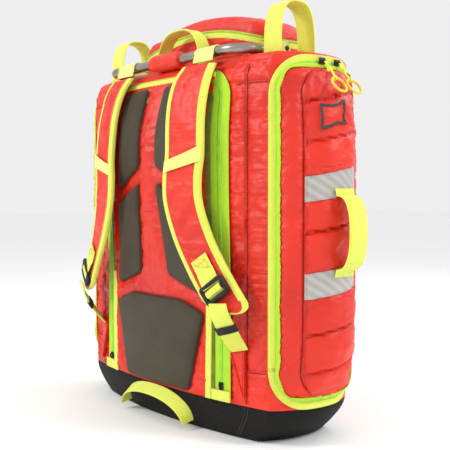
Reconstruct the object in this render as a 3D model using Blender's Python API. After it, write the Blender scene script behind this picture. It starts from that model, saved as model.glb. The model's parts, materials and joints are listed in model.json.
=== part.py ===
"""Trauma backpack with a padded harness side, two domed side pockets and a domed top pocket.

Metres, +Z up. The origin is the centre of the base. The harness faces -Y, and the two side
pockets face -X ("left") and +X ("right"), as somebody sees them who looks at the harness.
"""

import math

import bmesh
import bpy
from mathutils import Vector

# ---- driving dimensions
HALF_DEPTH = 0.0875          # base plane of the harness side and of the outer side
SEAM_X = 0.204               # corner seams of the harness side
EDGE_X = 0.245               # vertical edges, where the side pocket zips run
EDGE_Y = 0.0795
SIDE_RADIUS = 0.1305         # the side walls are arcs in plan
SIDE_CENTRE_X = 0.1415
BODY_TOP = 0.578
BOOT_TOP = 0.055
FOOT_WIDTH_SHARE = 0.84      # the boot narrows to these shares of the body's width and depth
FOOT_DEPTH_SHARE = 0.90
TAPER_START = -0.03          # the height from which the taper's curve is reckoned
FRONT_BOW = 0.008            # the outer side's crown

GAP = 0.0003                 # between pieces that touch on flat faces
LIFT = 0.0010                # between a piece and the curved surface that it lies on
BOOT_WALL = 0.003
BOOT_LEVELS = (0.012, 0.025, 0.040)
LEDGE = BOOT_TOP + GAP       # where the shell steps out over the boot's edge

PANEL_HALF = 0.140
PANEL_LOW, PANEL_HIGH = 0.066, 0.550
PANEL_THICK = 0.003
PAD_THICK = 0.009
ZIP_THICK = 0.002
HARNESS_ZIP_OUTER = 0.175
HARNESS_ZIP_TOP = 0.558

CAVITY_HALF = 0.185          # main compartment
CAVITY_FRONT, CAVITY_BACK = 0.080, -0.074
CAVITY_LOW, CAVITY_HIGH = 0.030, 0.564
MOUTH_HALF, MOUTH_LOW, MOUTH_HIGH = 0.160, 0.095, 0.525

POCKET_LOW, POCKET_HIGH = 0.068, 0.559   # side pocket zips
POCKET_ARC = 0.0745          # half the door's width, along the wall
POCKET_CORNER = 0.045
FACE_HALF = 0.0505           # half the width of the door's quilted face
FACE_SEAM_X, FACE_X = 0.285, 0.314
DOOR_WALL = 0.003
RIM = 0.004                  # width and depth of the door's rim
FACE_INSET = 0.006           # between the zip and the face, at the top and the bottom
TAPE_WIDTH, TAPE_CLEARANCE = 0.009, 0.001
STRIPE_MIDDLES = {"upper": 0.376, "lower": 0.237}
STRIPE_HALF, STRIPE_SLOPE = 0.0185, 0.21
POCKET_MIDDLE = (POCKET_LOW + POCKET_HIGH) / 2
RECESS_X, RECESS_HALF, RECESS_LOW, RECESS_HIGH = 0.215, 0.060, 0.090, 0.540
DOOR_HINGE = (0.2500, 0.0840)

TUBE_Y, TUBE_Z, TUBE_R, TUBE_BORE = -0.0875, 0.588, 0.0078, 0.0062
TUBE_LEG_X, TUBE_BEND, TUBE_END_Y = 0.187, 0.036, 0.010

HUMP_HALF_X, HUMP_BACK, HUMP_FRONT, HUMP_CORNER = 0.165, -0.030, 0.080, 0.032
HUMP_ZIP_END, HUMP_ZIP_RISE = 0.612, 0.028
LID_HEIGHT = 0.023
LID_HINGE = (0.0812, 0.6405)

SLIDER_HALF, SLIDER_LONG = 0.006, 0.009
PULL_REACH, RING_RADIUS = 0.046, 0.0125

WEB = 0.0016                 # webbing thickness
LOOP_WEB = 0.038             # widths of the loops' webbing
HANDLE_WEB = 0.036
GRAB_WEB = 0.026
YOKE_WEB = 0.050
TAIL_WEB = 0.030
YOKE_X = 0.112
STRAP_WIDTH, STRAP_THICK = 0.074, 0.010
PANEL_LEVELS = (             # heights at which the harness side bends
    PANEL_LOW, 0.100, 0.140, 0.180, 0.210, 0.240, 0.270, 0.300, 0.335, 0.370, 0.400, 0.430,
    0.455, 0.475, 0.495, 0.515, 0.532, PANEL_HIGH,
)
STRAP_PATH = (               # x, y from the harness plane, z and turn outwards in degrees
    (0.110, -0.0160, 0.568, 6),
    (0.111, -0.0310, 0.545, 9),
    (0.112, -0.0410, 0.515, 11),
    (0.114, -0.0470, 0.480, 11),
    (0.1165, -0.0500, 0.430, 11),
    (0.113, -0.0520, 0.395, 11),
    (0.116, -0.0520, 0.356, 12),
    (0.137, -0.0480, 0.303, 15),
    (0.168, -0.0420, 0.253, 18),
    (0.194, -0.0360, 0.217, 20),
)

SIDES = {"left": -1, "right": 1}
CORNERS = ((-1, -1), (1, -1), (1, 1), (-1, 1))
PIVOTS = {}                  # each object's origin in the world, by name

MATERIALS = {                # colour, roughness, metallic
    "red_fabric": ((0.72, 0.035, 0.018), 0.45, 0.0),
    "yellow_webbing": ((0.80, 1.00, 0.10), 0.75, 0.0),
    "zip_tape": ((0.55, 0.95, 0.05), 0.70, 0.0),
    "grey_pad": ((0.115, 0.095, 0.070), 0.80, 0.0),
    "black_boot": ((0.022, 0.020, 0.018), 0.60, 0.0),
    "reflective_tape": ((0.62, 0.60, 0.56), 0.35, 0.3),
    "satin_aluminium": ((0.36, 0.33, 0.30), 0.35, 1.0),
    "dark_plastic": ((0.035, 0.035, 0.040), 0.45, 0.0),
    "rivet_steel": ((0.20, 0.22, 0.20), 0.40, 1.0),
    "ring_yellow": ((0.95, 0.62, 0.02), 0.40, 0.0),
    "elastic_black": ((0.015, 0.015, 0.015), 0.85, 0.0),
    "stiff_sheet": ((0.05, 0.05, 0.05), 0.60, 0.0),
    "patch_grey": ((0.09, 0.08, 0.09), 0.70, 0.0),
}


# ---- the body's surfaces

def smooth(value, low, high):
    """0 below low, 1 above high, and an even blend between them."""
    t = min(1.0, max(0.0, (value - low) / (high - low)))
    return t * t * (3 - 2 * t)


def harness_bow(z):
    """How far the harness side bulges at its middle."""
    rise = 0.016 * smooth(z, 0.20, 0.42)
    fall = 0.028 * smooth(z, 0.45, 0.585)
    return 0.018 + rise - fall


def harness_y(x, z):
    """The harness side, which leans back at the shoulder."""
    lean = 0.010 * smooth(z, 0.54, 0.585)
    if abs(x) <= SEAM_X:
        return -HALF_DEPTH + lean - harness_bow(z) * (1 - (x / SEAM_X) ** 2)
    slope = (HALF_DEPTH - EDGE_Y) / (EDGE_X - SEAM_X)
    return -HALF_DEPTH + lean + (abs(x) - SEAM_X) * slope


def front_y(x, z):
    """The outer side."""
    return HALF_DEPTH + FRONT_BOW * (1 - (x / SEAM_X) ** 2)


def side_x(y):
    """The side wall's distance from the middle plane."""
    return SIDE_CENTRE_X + math.sqrt(SIDE_RADIUS ** 2 - y * y)


def plan_outline(z):
    """The body's outline seen from above, anticlockwise from the left harness seam."""
    ring = []
    for i in range(11):
        x = -SEAM_X + 2 * SEAM_X * i / 10
        ring.append((x, harness_y(x, z)))
    lean = harness_y(EDGE_X, z) + EDGE_Y
    half_angle = math.asin(EDGE_Y / SIDE_RADIUS)
    for i in range(9):
        angle = -half_angle + 2 * half_angle * i / 8
        y = SIDE_RADIUS * math.sin(angle)
        ring.append((side_x(y), y + lean * (0.5 - y / EDGE_Y / 2)))
    for i in range(7):
        x = SEAM_X - 2 * SEAM_X * i / 6
        ring.append((x, front_y(x, z)))
    for i in range(9):
        angle = half_angle - 2 * half_angle * i / 8
        y = SIDE_RADIUS * math.sin(angle)
        ring.append((-side_x(y), y + lean * (0.5 - y / EDGE_Y / 2)))
    return ring


def inset(ring, amount):
    """An outline moved inwards by an amount, square to itself."""
    moved = []
    for i, (x, y) in enumerate(ring):
        before, after = ring[i - 1], ring[(i + 1) % len(ring)]
        along = Vector((after[0] - before[0], after[1] - before[1])).normalized()
        moved.append((x - along.y * amount, y + along.x * amount))
    return moved


def body_ring(z, amount=0.0):
    """The body's outline at a height, narrowed towards the foot."""
    taper = (1 - smooth(z, TAPER_START, BOOT_TOP)) / (1 - smooth(0, TAPER_START, BOOT_TOP))
    narrow = 1 - taper * (1 - FOOT_WIDTH_SHARE)
    shallow = 1 - taper * (1 - FOOT_DEPTH_SHARE)
    ring = [(x * narrow, y * shallow) for x, y in plan_outline(z)]
    return [(x, y, z) for x, y in inset(ring, amount)]


def harness_point(u, v, lift):
    """A point over the harness side at x = u, z = v."""
    step = 0.001
    slope_x = (harness_y(u + step, v) - harness_y(u - step, v)) / (2 * step)
    slope_z = (harness_y(u, v + step) - harness_y(u, v - step)) / (2 * step)
    normal = Vector((slope_x, -1, slope_z)).normalized()
    return Vector((u, harness_y(u, v), v)) + normal * lift


def front_point(u, v, lift):
    """A point over the outer side at x = u, z = v."""
    return Vector((u, front_y(u, v) + lift, v))


def wall_point(side):
    """The side wall as a function of the distance along it, from its middle, and of z."""
    half_arc = SIDE_RADIUS * math.asin(EDGE_Y / SIDE_RADIUS)
    flat = Vector((SEAM_X - EDGE_X, HALF_DEPTH - EDGE_Y)).normalized()

    def point(u, v, lift):
        turn = max(-half_arc, min(half_arc, u)) / SIDE_RADIUS
        x = SIDE_CENTRE_X + (SIDE_RADIUS + lift) * math.cos(turn)
        y = (SIDE_RADIUS + lift) * math.sin(turn)
        past = abs(u) - half_arc
        if past > 0:
            way = math.copysign(1, u)
            edge_x = EDGE_X + flat.y * lift
            edge_y = EDGE_Y - flat.x * lift
            x, y = edge_x + flat.x * past, way * (edge_y + flat.y * past)
        return Vector((side * x, y, v))

    return point


def bulge(z):
    """How far the side pocket has swelled at a height, from 0 at its zips to 1."""
    middle, half = (POCKET_LOW + POCKET_HIGH) / 2, (POCKET_HIGH - POCKET_LOW) / 2
    return max(0.0, 1 - abs((z - middle) / half) ** 6)


def face_x(y, z):
    """The side pocket door's quilted face."""
    full = FACE_X - (FACE_X - FACE_SEAM_X) * (y / FACE_HALF) ** 2
    return side_x(y) + 0.005 + (full - side_x(y) - 0.005) * bulge(z)


def face_point(side):
    """A point over the side pocket's face at y = u, z = v."""

    def point(u, v, lift):
        step = 0.001
        slope_y = (face_x(u + step, v) - face_x(u - step, v)) / (2 * step)
        slope_z = (face_x(u, v + step) - face_x(u, v - step)) / (2 * step)
        normal = Vector((1, -slope_y, -slope_z)).normalized() * lift
        return Vector((side * (face_x(u, v) + normal.x), u + normal.y, v + normal.z))

    return point


# ---- making objects

def add(name, points, faces, material, pivot=(0, 0, 0), parent=None):
    """A closed mesh whose faces point out, with its origin at the pivot."""
    mesh = bpy.data.meshes.new(name)
    origin = Vector(pivot)
    mesh.from_pydata([Vector(p) - origin for p in points], [], faces)
    shape = bmesh.new()
    shape.from_mesh(mesh)
    bmesh.ops.remove_doubles(shape, verts=shape.verts, dist=1e-6)
    bmesh.ops.recalc_face_normals(shape, faces=shape.faces)
    shape.to_mesh(mesh)
    shape.free()
    mesh.materials.append(bpy.data.materials[material])
    thing = bpy.data.objects.new(name, mesh)
    bpy.context.scene.collection.objects.link(thing)
    thing.location = origin
    PIVOTS[name] = origin
    if parent:
        thing.parent = parent
        thing.location = origin - PIVOTS[parent.name]
    return thing


def cut(thing, points, faces, name):
    """Takes a closed shape away from an object."""
    cutter = add(name, points, faces, "stiff_sheet")
    cutter.hide_render = True
    cutter.display_type = "WIRE"
    cutter.hide_set(True)
    step = thing.modifiers.new(name, "BOOLEAN")
    step.operation = "DIFFERENCE"
    step.solver = "EXACT"
    step.object = cutter


def box_shape(low, high):
    """The corners and faces of a box."""
    spans = list(zip(low, high))
    points = [(x, y, z) for x in spans[0] for y in spans[1] for z in spans[2]]
    faces = [(0, 1, 3, 2), (4, 6, 7, 5), (0, 4, 5, 1), (2, 3, 7, 6), (0, 2, 6, 4), (1, 5, 7, 3)]
    return points, faces


def ring_faces(first, second, count):
    """Quads between two closed rings, given by their first points' numbers."""
    quads = []
    for i in range(count):
        j = (i + 1) % count
        quads.append((first + i, first + j, second + j, second + i))
    return quads


def mirror_cap(first, count):
    """Quads across a ring whose point k mirrors its point count - k."""
    half = count // 2
    faces = [(first, first + 1, first + count - 1)]
    for k in range(1, half - 1):
        faces.append((first + k, first + k + 1, first + count - k - 1, first + count - k))
    faces.append((first + half - 1, first + half, first + half + 1))
    return faces


def loft(rings, closed_ends=True, mirrored=False):
    """Points and faces through rings of equally many points."""
    count = len(rings[0])
    points = [p for ring in rings for p in ring]
    faces = []
    for r in range(len(rings) - 1):
        faces += ring_faces(r * count, (r + 1) * count, count)
    last = (len(rings) - 1) * count
    if mirrored:
        faces += mirror_cap(0, count) + mirror_cap(last, count)
    elif closed_ends:
        faces += [tuple(range(count)), tuple(range(last, last + count))]
    else:
        faces += ring_faces(last, 0, count)
    return points, faces


def rounded(corners, radius, spacing):
    """A polygon with round corners and a point at least every spacing, as (u, v) pairs."""
    outline = []
    count = len(corners)
    for i, corner in enumerate(corners):
        here = Vector(corner)
        back = (Vector(corners[i - 1]) - here).normalized()
        ahead = (Vector(corners[(i + 1) % count]) - here).normalized()
        for k in range(4):
            t = k / 3
            start, end = here + back * radius, here + ahead * radius
            outline.append(start * (1 - t) ** 2 + here * 2 * t * (1 - t) + end * t * t)
    full = []
    for i, here in enumerate(outline):
        after = outline[(i + 1) % len(outline)]
        pieces = max(1, math.ceil((after - here).length / spacing))
        full += [here.lerp(after, k / pieces) for k in range(pieces)]
    return full


def pad(name, surface, corners, radius, thick, material, crown=0.45, spacing=0.045, lift=LIFT):
    """A crowned pad that lies on a surface, inside a rounded outline."""
    outline = rounded(corners, radius, spacing)
    centre = sum(outline, Vector((0, 0))) / len(outline)
    shares = (0.33, 0.66, 1.0)
    heights = (1.0, 0.95, crown)
    under = [[surface(*centre.lerp(p, s), lift) for p in outline] for s in shares]
    over = []
    for share, height in zip((0.985, 0.66, 0.33), heights[::-1]):
        over.append([surface(*centre.lerp(p, share), lift + thick * height) for p in outline])
    return add(name, *loft(under + over), material)


def tape_ring(name, surface, outer, inner, lift, thick, material):
    """A flat band between two outlines of equally many points."""
    rings = [
        [surface(*p, lift) for p in inner],
        [surface(*p, lift) for p in outer],
        [surface(*p, lift + thick) for p in outer],
        [surface(*p, lift + thick) for p in inner],
    ]
    return add(name, *loft(rings, closed_ends=False), material)


def strip(name, surface, rows, lift, thick, material, pivot=(0, 0, 0), parent=None):
    """A band on a surface, open at both ends: each row is its two edge points."""
    rings = [
        [surface(*a, lift), surface(*b, lift), surface(*b, lift + thick), surface(*a, lift + thick)]
        for a, b in rows
    ]
    return add(name, *loft(rings), material, pivot, parent)


def web(name, path, across, width, thick, material, pivot=(0, 0, 0), parent=None):
    """Flat webbing along a path. across is its width's direction, one for all or one a point."""
    path = [Vector(p) for p in path]
    rings = []
    for i, here in enumerate(path):
        along = (path[min(i + 1, len(path) - 1)] - path[max(i - 1, 0)]).normalized()
        wide = Vector(across[i] if isinstance(across, list) else across)
        wide = (wide - along * wide.dot(along)).normalized()
        out = along.cross(wide).normalized()
        half_w, half_t = wide * width / 2, out * thick / 2
        under, over = here - half_t, here + half_t
        rings.append([under - half_w, under + half_w, over + half_w, over - half_w])
    return add(name, *loft(rings), material, pivot, parent)


def circle_rings(path, radius, sides):
    """Circles square to a path that lies flat in XY."""
    rings = []
    for i, here in enumerate(path):
        along = (path[min(i + 1, len(path) - 1)] - path[max(i - 1, 0)]).normalized()
        wide = along.cross(Vector((0, 0, 1))).normalized()
        ring = []
        for k in range(sides):
            turn = 2 * math.pi * k / sides
            ring.append(here + wide * radius * math.cos(turn) + Vector((0, 0, radius * math.sin(turn))))
        rings.append(ring)
    return rings


def pipe(name, path, outer, inner, sides, material):
    """A pipe open at both ends along a flat path."""
    outside = circle_rings(path, outer, sides)
    inside = circle_rings(path, inner, sides)
    return add(name, *loft(outside + inside[::-1], closed_ends=False), material)


def rod_shape(start, end, radius, sides):
    """The points and faces of a round rod between two points."""
    start, end = Vector(start), Vector(end)
    along = (end - start).normalized()
    wide = along.orthogonal().normalized()
    deep = along.cross(wide)
    rings = []
    for centre in (start, end):
        turns = [2 * math.pi * k / sides for k in range(sides)]
        rings.append([centre + wide * radius * math.cos(t) + deep * radius * math.sin(t) for t in turns])
    return loft(rings)


def arch(start, end, rise, way, count=9, flat=2.4):
    """Points on an arch between two feet, rising along a direction."""
    start, end, way = Vector(start), Vector(end), Vector(way)
    points = []
    for i in range(count):
        turn = math.pi * i / (count - 1)
        along = (1 - math.copysign(abs(math.cos(turn)) ** (2 / flat), math.cos(turn))) / 2
        points.append(start.lerp(end, along) + way * rise * math.sin(turn) ** (2 / flat))
    return points


# ---- shell, boot and what is inside

def main_shell():
    foot_levels = (BOOT_WALL + GAP, *BOOT_LEVELS, LEDGE)
    body_levels = (LEDGE + 0.0002, 0.064, *PANEL_LEVELS[1:-1], 0.546, 0.557, 0.568)
    rings = [body_ring(z, BOOT_WALL + GAP) for z in foot_levels]
    rings += [body_ring(z) for z in body_levels]
    rings.append(body_ring(0.574, 0.004))
    rings.append(body_ring(BODY_TOP, 0.011))
    shell = add("main_shell", *loft(rings), "red_fabric")
    cavity = box_shape((-CAVITY_HALF, CAVITY_BACK, CAVITY_LOW), (CAVITY_HALF, CAVITY_FRONT, CAVITY_HIGH))
    cut(shell, *cavity, "main_cavity")
    mouth = box_shape((-MOUTH_HALF, 0, MOUTH_LOW), (MOUTH_HALF, 0.15, MOUTH_HIGH))
    cut(shell, *mouth, "front_mouth")
    for word, side in SIDES.items():
        low, high = sorted((side * RECESS_X, side * 0.33))
        recess = box_shape((low, -RECESS_HALF, RECESS_LOW), (high, RECESS_HALF, RECESS_HIGH))
        cut(shell, *recess, f"recess_{word}")


def boot():
    outside = [body_ring(0.0, 0.004)] + [body_ring(z) for z in (0.003, *BOOT_LEVELS, BOOT_TOP)]
    inside = [body_ring(z, BOOT_WALL) for z in (BOOT_TOP, *BOOT_LEVELS[::-1], BOOT_WALL)]
    add("boot", *loft(outside + inside), "black_boot")


def inner_sheets():
    half, back = CAVITY_HALF - 0.008, CAVITY_BACK + GAP
    board = box_shape((-half, back + 0.010, CAVITY_LOW + GAP), (half, 0.070, CAVITY_LOW + 0.004))
    add("base_board", *board, "stiff_sheet")
    sheet = box_shape((-0.150, back, 0.045), (0.150, back + 0.0025, 0.540))
    add("frame_sheet", *sheet, "stiff_sheet")


# ---- harness side

def u_outline(half, low, high, corner):
    """Half of an upside-down U, from its right foot up and round to its left foot."""
    points = [(half, low + (high - corner - low) * k / 18) for k in range(19)]
    for k in range(1, 5):
        turn = math.pi / 2 * k / 4
        points.append((half - corner + corner * math.cos(turn), high - corner + corner * math.sin(turn)))
    inner = half - corner
    points += [(inner - 2 * inner * k / 8, high) for k in range(1, 8)]
    return points + [(-x, z) for x, z in points[22::-1]]


def harness():
    columns = [-PANEL_HALF + 2 * PANEL_HALF * i / 10 for i in range(11)]
    rings = []
    for z in PANEL_LEVELS:
        row = [harness_point(x, z, LIFT) for x in columns]
        rings.append(row + [harness_point(x, z, LIFT + PANEL_THICK) for x in columns[::-1]])
    add("back_panel", *loft(rings), "red_fabric")
    outer = u_outline(HARNESS_ZIP_OUTER, BOOT_TOP + 0.006, HARNESS_ZIP_TOP, 0.040)
    inner = u_outline(PANEL_HALF + 0.0015, BOOT_TOP + 0.006, PANEL_HIGH + 0.0015, 0.004)
    strip("harness_zip", harness_point, list(zip(outer, inner)), 1.9 * LIFT, ZIP_THICK, "zip_tape")

    on_panel = 2.9 * LIFT + PANEL_THICK
    for word, side in SIDES.items():
        upper = [(0.024, 0.416), (0.090, 0.380), (0.090, 0.538), (0.025, 0.542)]
        middle = [(0.040, 0.242), (0.116, 0.216), (0.098, 0.354), (0.025, 0.389)]
        for name, corners in (("upper_pad", upper), ("mid_pad", middle)):
            mirrored = [(side * x, z) for x, z in corners]
            pad(f"{name}_{word}", harness_point, mirrored, 0.012, PAD_THICK, "grey_pad", lift=on_panel)
    half = [(0.086, 0.070), (0.122, 0.186), (0.070, 0.203)]
    lumbar = half + [(-x, z) for x, z in half[::-1]]
    pad("lumbar_pad", harness_point, lumbar, 0.012, PAD_THICK, "grey_pad", lift=on_panel)


def wedge_tabs():
    """Folded tabs at the corner seams, which hold the lower end of each strap's webbing."""
    for word, side in SIDES.items():
        corners = [(side * 0.203, 0.070), (side * 0.2035, 0.148), (side * 0.1795, 0.130)]
        pad(f"wedge_tab_{word}", harness_point, corners, 0.004, 0.004, "red_fabric", crown=0.6)


# ---- side pockets

def arc_outline(half, low, high, corner):
    """A rounded upright outline whose point k mirrors its last point but k."""
    run = half - corner
    points = [(run * k / 3, low) for k in range(4)]
    for k in range(1, 5):
        turn = math.pi / 2 * k / 4
        points.append((half - corner + corner * math.sin(turn), low + corner - corner * math.cos(turn)))
    points += [(half, low + corner + (high - low - 2 * corner) * k / 8) for k in range(1, 9)]
    for k in range(1, 5):
        turn = math.pi / 2 * k / 4
        points.append((half - corner + corner * math.cos(turn), high - corner + corner * math.sin(turn)))
    points += [(run * k / 3, high) for k in (2, 1, 0)]
    return points + [(-u, v) for u, v in points[-2:0:-1]]


def pocket_outline(grow):
    """The side pocket's outline on the wall, grown outwards by a distance."""
    return arc_outline(POCKET_ARC + grow, POCKET_LOW - grow, POCKET_HIGH + grow, POCKET_CORNER + grow)


def door_shape(side):
    """A hollow domed door: a rim on the wall, a gusset, and the quilted face."""
    wall, face = wall_point(side), face_point(side)
    rim = pocket_outline(0)
    inner_rim = pocket_outline(-RIM)
    face_shapes = []
    for share in (1.0, 0.66, 0.33):
        end = FACE_INSET + (1 - share) * 0.10
        half = FACE_HALF * share
        face_shapes.append(arc_outline(half, POCKET_LOW + end, POCKET_HIGH - end, half * 0.85))
    outside = [[wall(u, v, LIFT) for u, v in rim], [wall(u, v, LIFT + RIM) for u, v in rim]]
    outside += [[face(u, v, 0) for u, v in shape] for shape in face_shapes]
    inside = []
    for shape in face_shapes:
        inside.append([face(u * 0.93, v + (POCKET_MIDDLE - v) * 0.02, -DOOR_WALL) for u, v in shape])
    throat = [wall(u, v, LIFT) for u, v in inner_rim]
    return loft(inside[::-1] + [throat] + outside, mirrored=True)


def side_pocket(word, side):
    wall, face = wall_point(side), face_point(side)
    bands = (wall, pocket_outline(TAPE_CLEARANCE + TAPE_WIDTH), pocket_outline(TAPE_CLEARANCE))
    tape_ring(f"side_zip_{word}", *bands, LIFT, ZIP_THICK, "zip_tape")
    pivot = (side * DOOR_HINGE[0], DOOR_HINGE[1], POCKET_MIDDLE)
    door = add(f"side_door_{word}", *door_shape(side), "red_fabric", pivot)
    for level, middle in STRIPE_MIDDLES.items():
        rows = []
        for k in range(9):
            y = -0.048 + 0.096 * k / 8
            z = middle + STRIPE_SLOPE * (y + FACE_HALF)
            rows.append(((y, z - STRIPE_HALF), (y, z + STRIPE_HALF)))
        strip(f"stripe_{level}_{word}", face, rows, LIFT, 0.0008, "reflective_tape", pivot, door)
    handle(word, side, door)
    sliders = ((1, -0.010), (2, 0.022)) if side > 0 else ((1, -0.010),)
    for number, y in sliders:
        slider_and_pull(f"side_slider_{word}_{number}", f"side_pull_{word}_{number}", side, y, door)
    if side > 0:
        rows = []
        for k in range(5):
            y = -0.043 + 0.046 * k / 4
            z = 0.474 + 0.2 * (y + 0.043)
            reach = 0.0195 - 0.003 * math.sin(math.pi * k / 4)
            rows.append(((y, z - reach), (y, z + reach)))
        strip("side_patch_right", face, rows, 1.6 * LIFT, 0.0015, "patch_grey", pivot, door)


def handle(word, side, door):
    foot = FACE_X + 0.0022
    path = arch((side * foot, 0, 0.262), (side * foot, 0, 0.368), 0.025, (side, 0, 0), 11)
    pivot = (side * foot, 0, 0.315)
    web(f"side_handle_{word}", path, (0, 1, 0), HANDLE_WEB, WEB * 1.5, "yellow_webbing", pivot, door)


def slider_and_pull(slider_name, pull_name, side, y, door):
    """A zip slider on the door's top edge, and the ring that hangs from it on a short cord."""
    x, z = side_x(y) + 0.0074, POCKET_HIGH - 0.0005
    low, high = sorted((side * x, side * (x + 0.004)))
    slider_pivot = (side * x, y, z)
    body = box_shape((low, y - SLIDER_HALF, z), (high, y + SLIDER_HALF, z + SLIDER_LONG))
    slider = add(slider_name, *body, "dark_plastic", slider_pivot, door)
    top = Vector((side * (x + 0.0075), y, z + 0.003))
    down = Vector((side * 0.62, 0, -0.78)).normalized()
    pull(pull_name, top, down, PULL_REACH, RING_RADIUS, Vector((0, 1, 0)), slider)


def pull(name, top, down, reach, ring_radius, wide, parent):
    """A knotted cord that ends in a ring, as one body."""
    centre = top + down * reach
    out = down.cross(wide).normalized()
    points, faces = [], []
    around, tube_sides, tube = 14, 6, 0.0017
    for i in range(around):
        turn = 2 * math.pi * i / around
        spoke = down * math.cos(turn) + wide * math.sin(turn)
        for k in range(tube_sides):
            roll = 2 * math.pi * k / tube_sides
            points.append(centre + spoke * (ring_radius + tube * math.cos(roll)) + out * tube * math.sin(roll))
            j, m = (i + 1) % around, (k + 1) % tube_sides
            quad = (i * tube_sides + k, j * tube_sides + k, j * tube_sides + m, i * tube_sides + m)
            faces.append(quad)
    ring = add(name, points, faces, "ring_yellow", top, parent)
    cord_end = centre - down * (ring_radius - 0.0005)
    join(ring, *rod_shape(top, cord_end, 0.0016, 6), f"{name}_cord")
    knot = top + down * (reach - ring_radius) * 0.42
    join(ring, *rod_shape(knot - down * 0.005, knot + down * 0.005, 0.0042, 8), f"{name}_knot")


def join(thing, points, faces, name):
    """Adds an overlapping closed shape to an object."""
    helper = add(name, points, faces, "ring_yellow")
    helper.hide_render = True
    helper.display_type = "WIRE"
    helper.hide_set(True)
    step = thing.modifiers.new(name, "BOOLEAN")
    step.operation = "UNION"
    step.solver = "EXACT"
    step.object = helper


# ---- top pocket and front door

def hump_zip_z(x):
    """The arched zip of the top pocket."""
    return HUMP_ZIP_END + HUMP_ZIP_RISE * (1 - (x / HUMP_HALF_X) ** 2)


def hump_outline(shrink):
    """The top pocket seen from above, from its right end; point k mirrors its last point but k."""
    half_x, half_y = HUMP_HALF_X - shrink, (HUMP_FRONT - HUMP_BACK) / 2 - shrink
    corner = max(0.006, HUMP_CORNER - shrink)
    middle = (HUMP_FRONT + HUMP_BACK) / 2
    points = [(half_x, 0.0), (half_x, half_y - corner)]
    for k in range(1, 4):
        turn = math.pi / 2 * k / 3
        points.append((half_x - corner + corner * math.cos(turn), half_y - corner + corner * math.sin(turn)))
    run = half_x - corner
    points += [(run - 2 * run * k / 10, half_y) for k in range(1, 10)]
    half = points + [(-x, y) for x, y in points[4:0:-1]] + [(-half_x, 0.0)]
    ring = half + [(x, -y) for x, y in half[-2:0:-1]]
    return [(x, middle + y) for x, y in ring]


def top_pocket():
    floor = BODY_TOP + GAP
    wall, inside = hump_outline(0), hump_outline(0.004)
    rings = [
        [(x, y, floor) for x, y in wall],
        [(x, y, hump_zip_z(x)) for x, y in wall],
        [(x, y, hump_zip_z(x)) for x, y in inside],
        [(x, y, floor + 0.004) for x, y in inside],
    ]
    add("top_pocket", *loft(rings, mirrored=True), "red_fabric")
    under = [(0.018, LID_HEIGHT - 0.003), (0.007, LID_HEIGHT * 0.62), (0.003, GAP)]
    over = [(0.000, GAP), (0.004, LID_HEIGHT * 0.62), (0.016, LID_HEIGHT)]
    rings = [[(x, y, hump_zip_z(x) + rise) for x, y in hump_outline(shrink)] for shrink, rise in under + over]
    pivot = (0, *LID_HINGE)
    lid = add("top_lid", *loft(rings, mirrored=True), "red_fabric", pivot)
    x, y, z = -HUMP_HALF_X - 0.0005, 0.025, HUMP_ZIP_END
    body = box_shape((x - 0.004, y - SLIDER_HALF, z - 0.003), (x, y + SLIDER_HALF, z + 0.006))
    slider = add("top_slider", *body, "dark_plastic", (x, y, z), lid)
    top = Vector((x - 0.0088, y, z))
    pull("top_pull", top, Vector((0, 0, -1)), 0.020, 0.008, Vector((0, 1, 0)), slider)


def front_door():
    corners = [(0.178, 0.078), (0.178, 0.543), (-0.178, 0.543), (-0.178, 0.078)]
    outline = rounded(corners, 0.040, 0.060)
    shares = (0.001, 0.3, 0.6, 1.0)
    centre = Vector((0, 0.3105))
    rises = (0.017, 0.016, 0.012, 0.004)
    under = [[front_point(*centre.lerp(p, s), LIFT) for p in outline] for s in shares]
    over = [
        [front_point(*centre.lerp(p, s), LIFT + rise) for p in outline]
        for s, rise in zip(shares[::-1], rises[::-1])
    ]
    pivot = (0, front_y(0, 0) + 0.003, 0.076)
    door = add("front_door", *loft(under + over), "red_fabric", pivot)
    outer = [(x * 1.062, 0.3105 + (z - 0.3105) * 1.045) for x, z in outline]
    inner = [(x * 1.006, 0.3105 + (z - 0.3105) * 1.0045) for x, z in outline]
    tape_ring("front_zip", front_point, outer, inner, LIFT, ZIP_THICK, "zip_tape")
    y, z = front_y(0, 0.5) + 0.0065, 0.536
    body = box_shape((-SLIDER_HALF, y, z), (SLIDER_HALF, y + 0.004, z + SLIDER_LONG))
    slider = add("front_slider", *body, "dark_plastic", (0, y, z), door)
    top = Vector((0, y + 0.0072, z + 0.004))
    down = Vector((0, 0.22, -0.97)).normalized()
    pull("front_pull", top, down, PULL_REACH, RING_RADIUS, Vector((1, 0, 0)), slider)


# ---- tube frame, straps and handles

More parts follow.
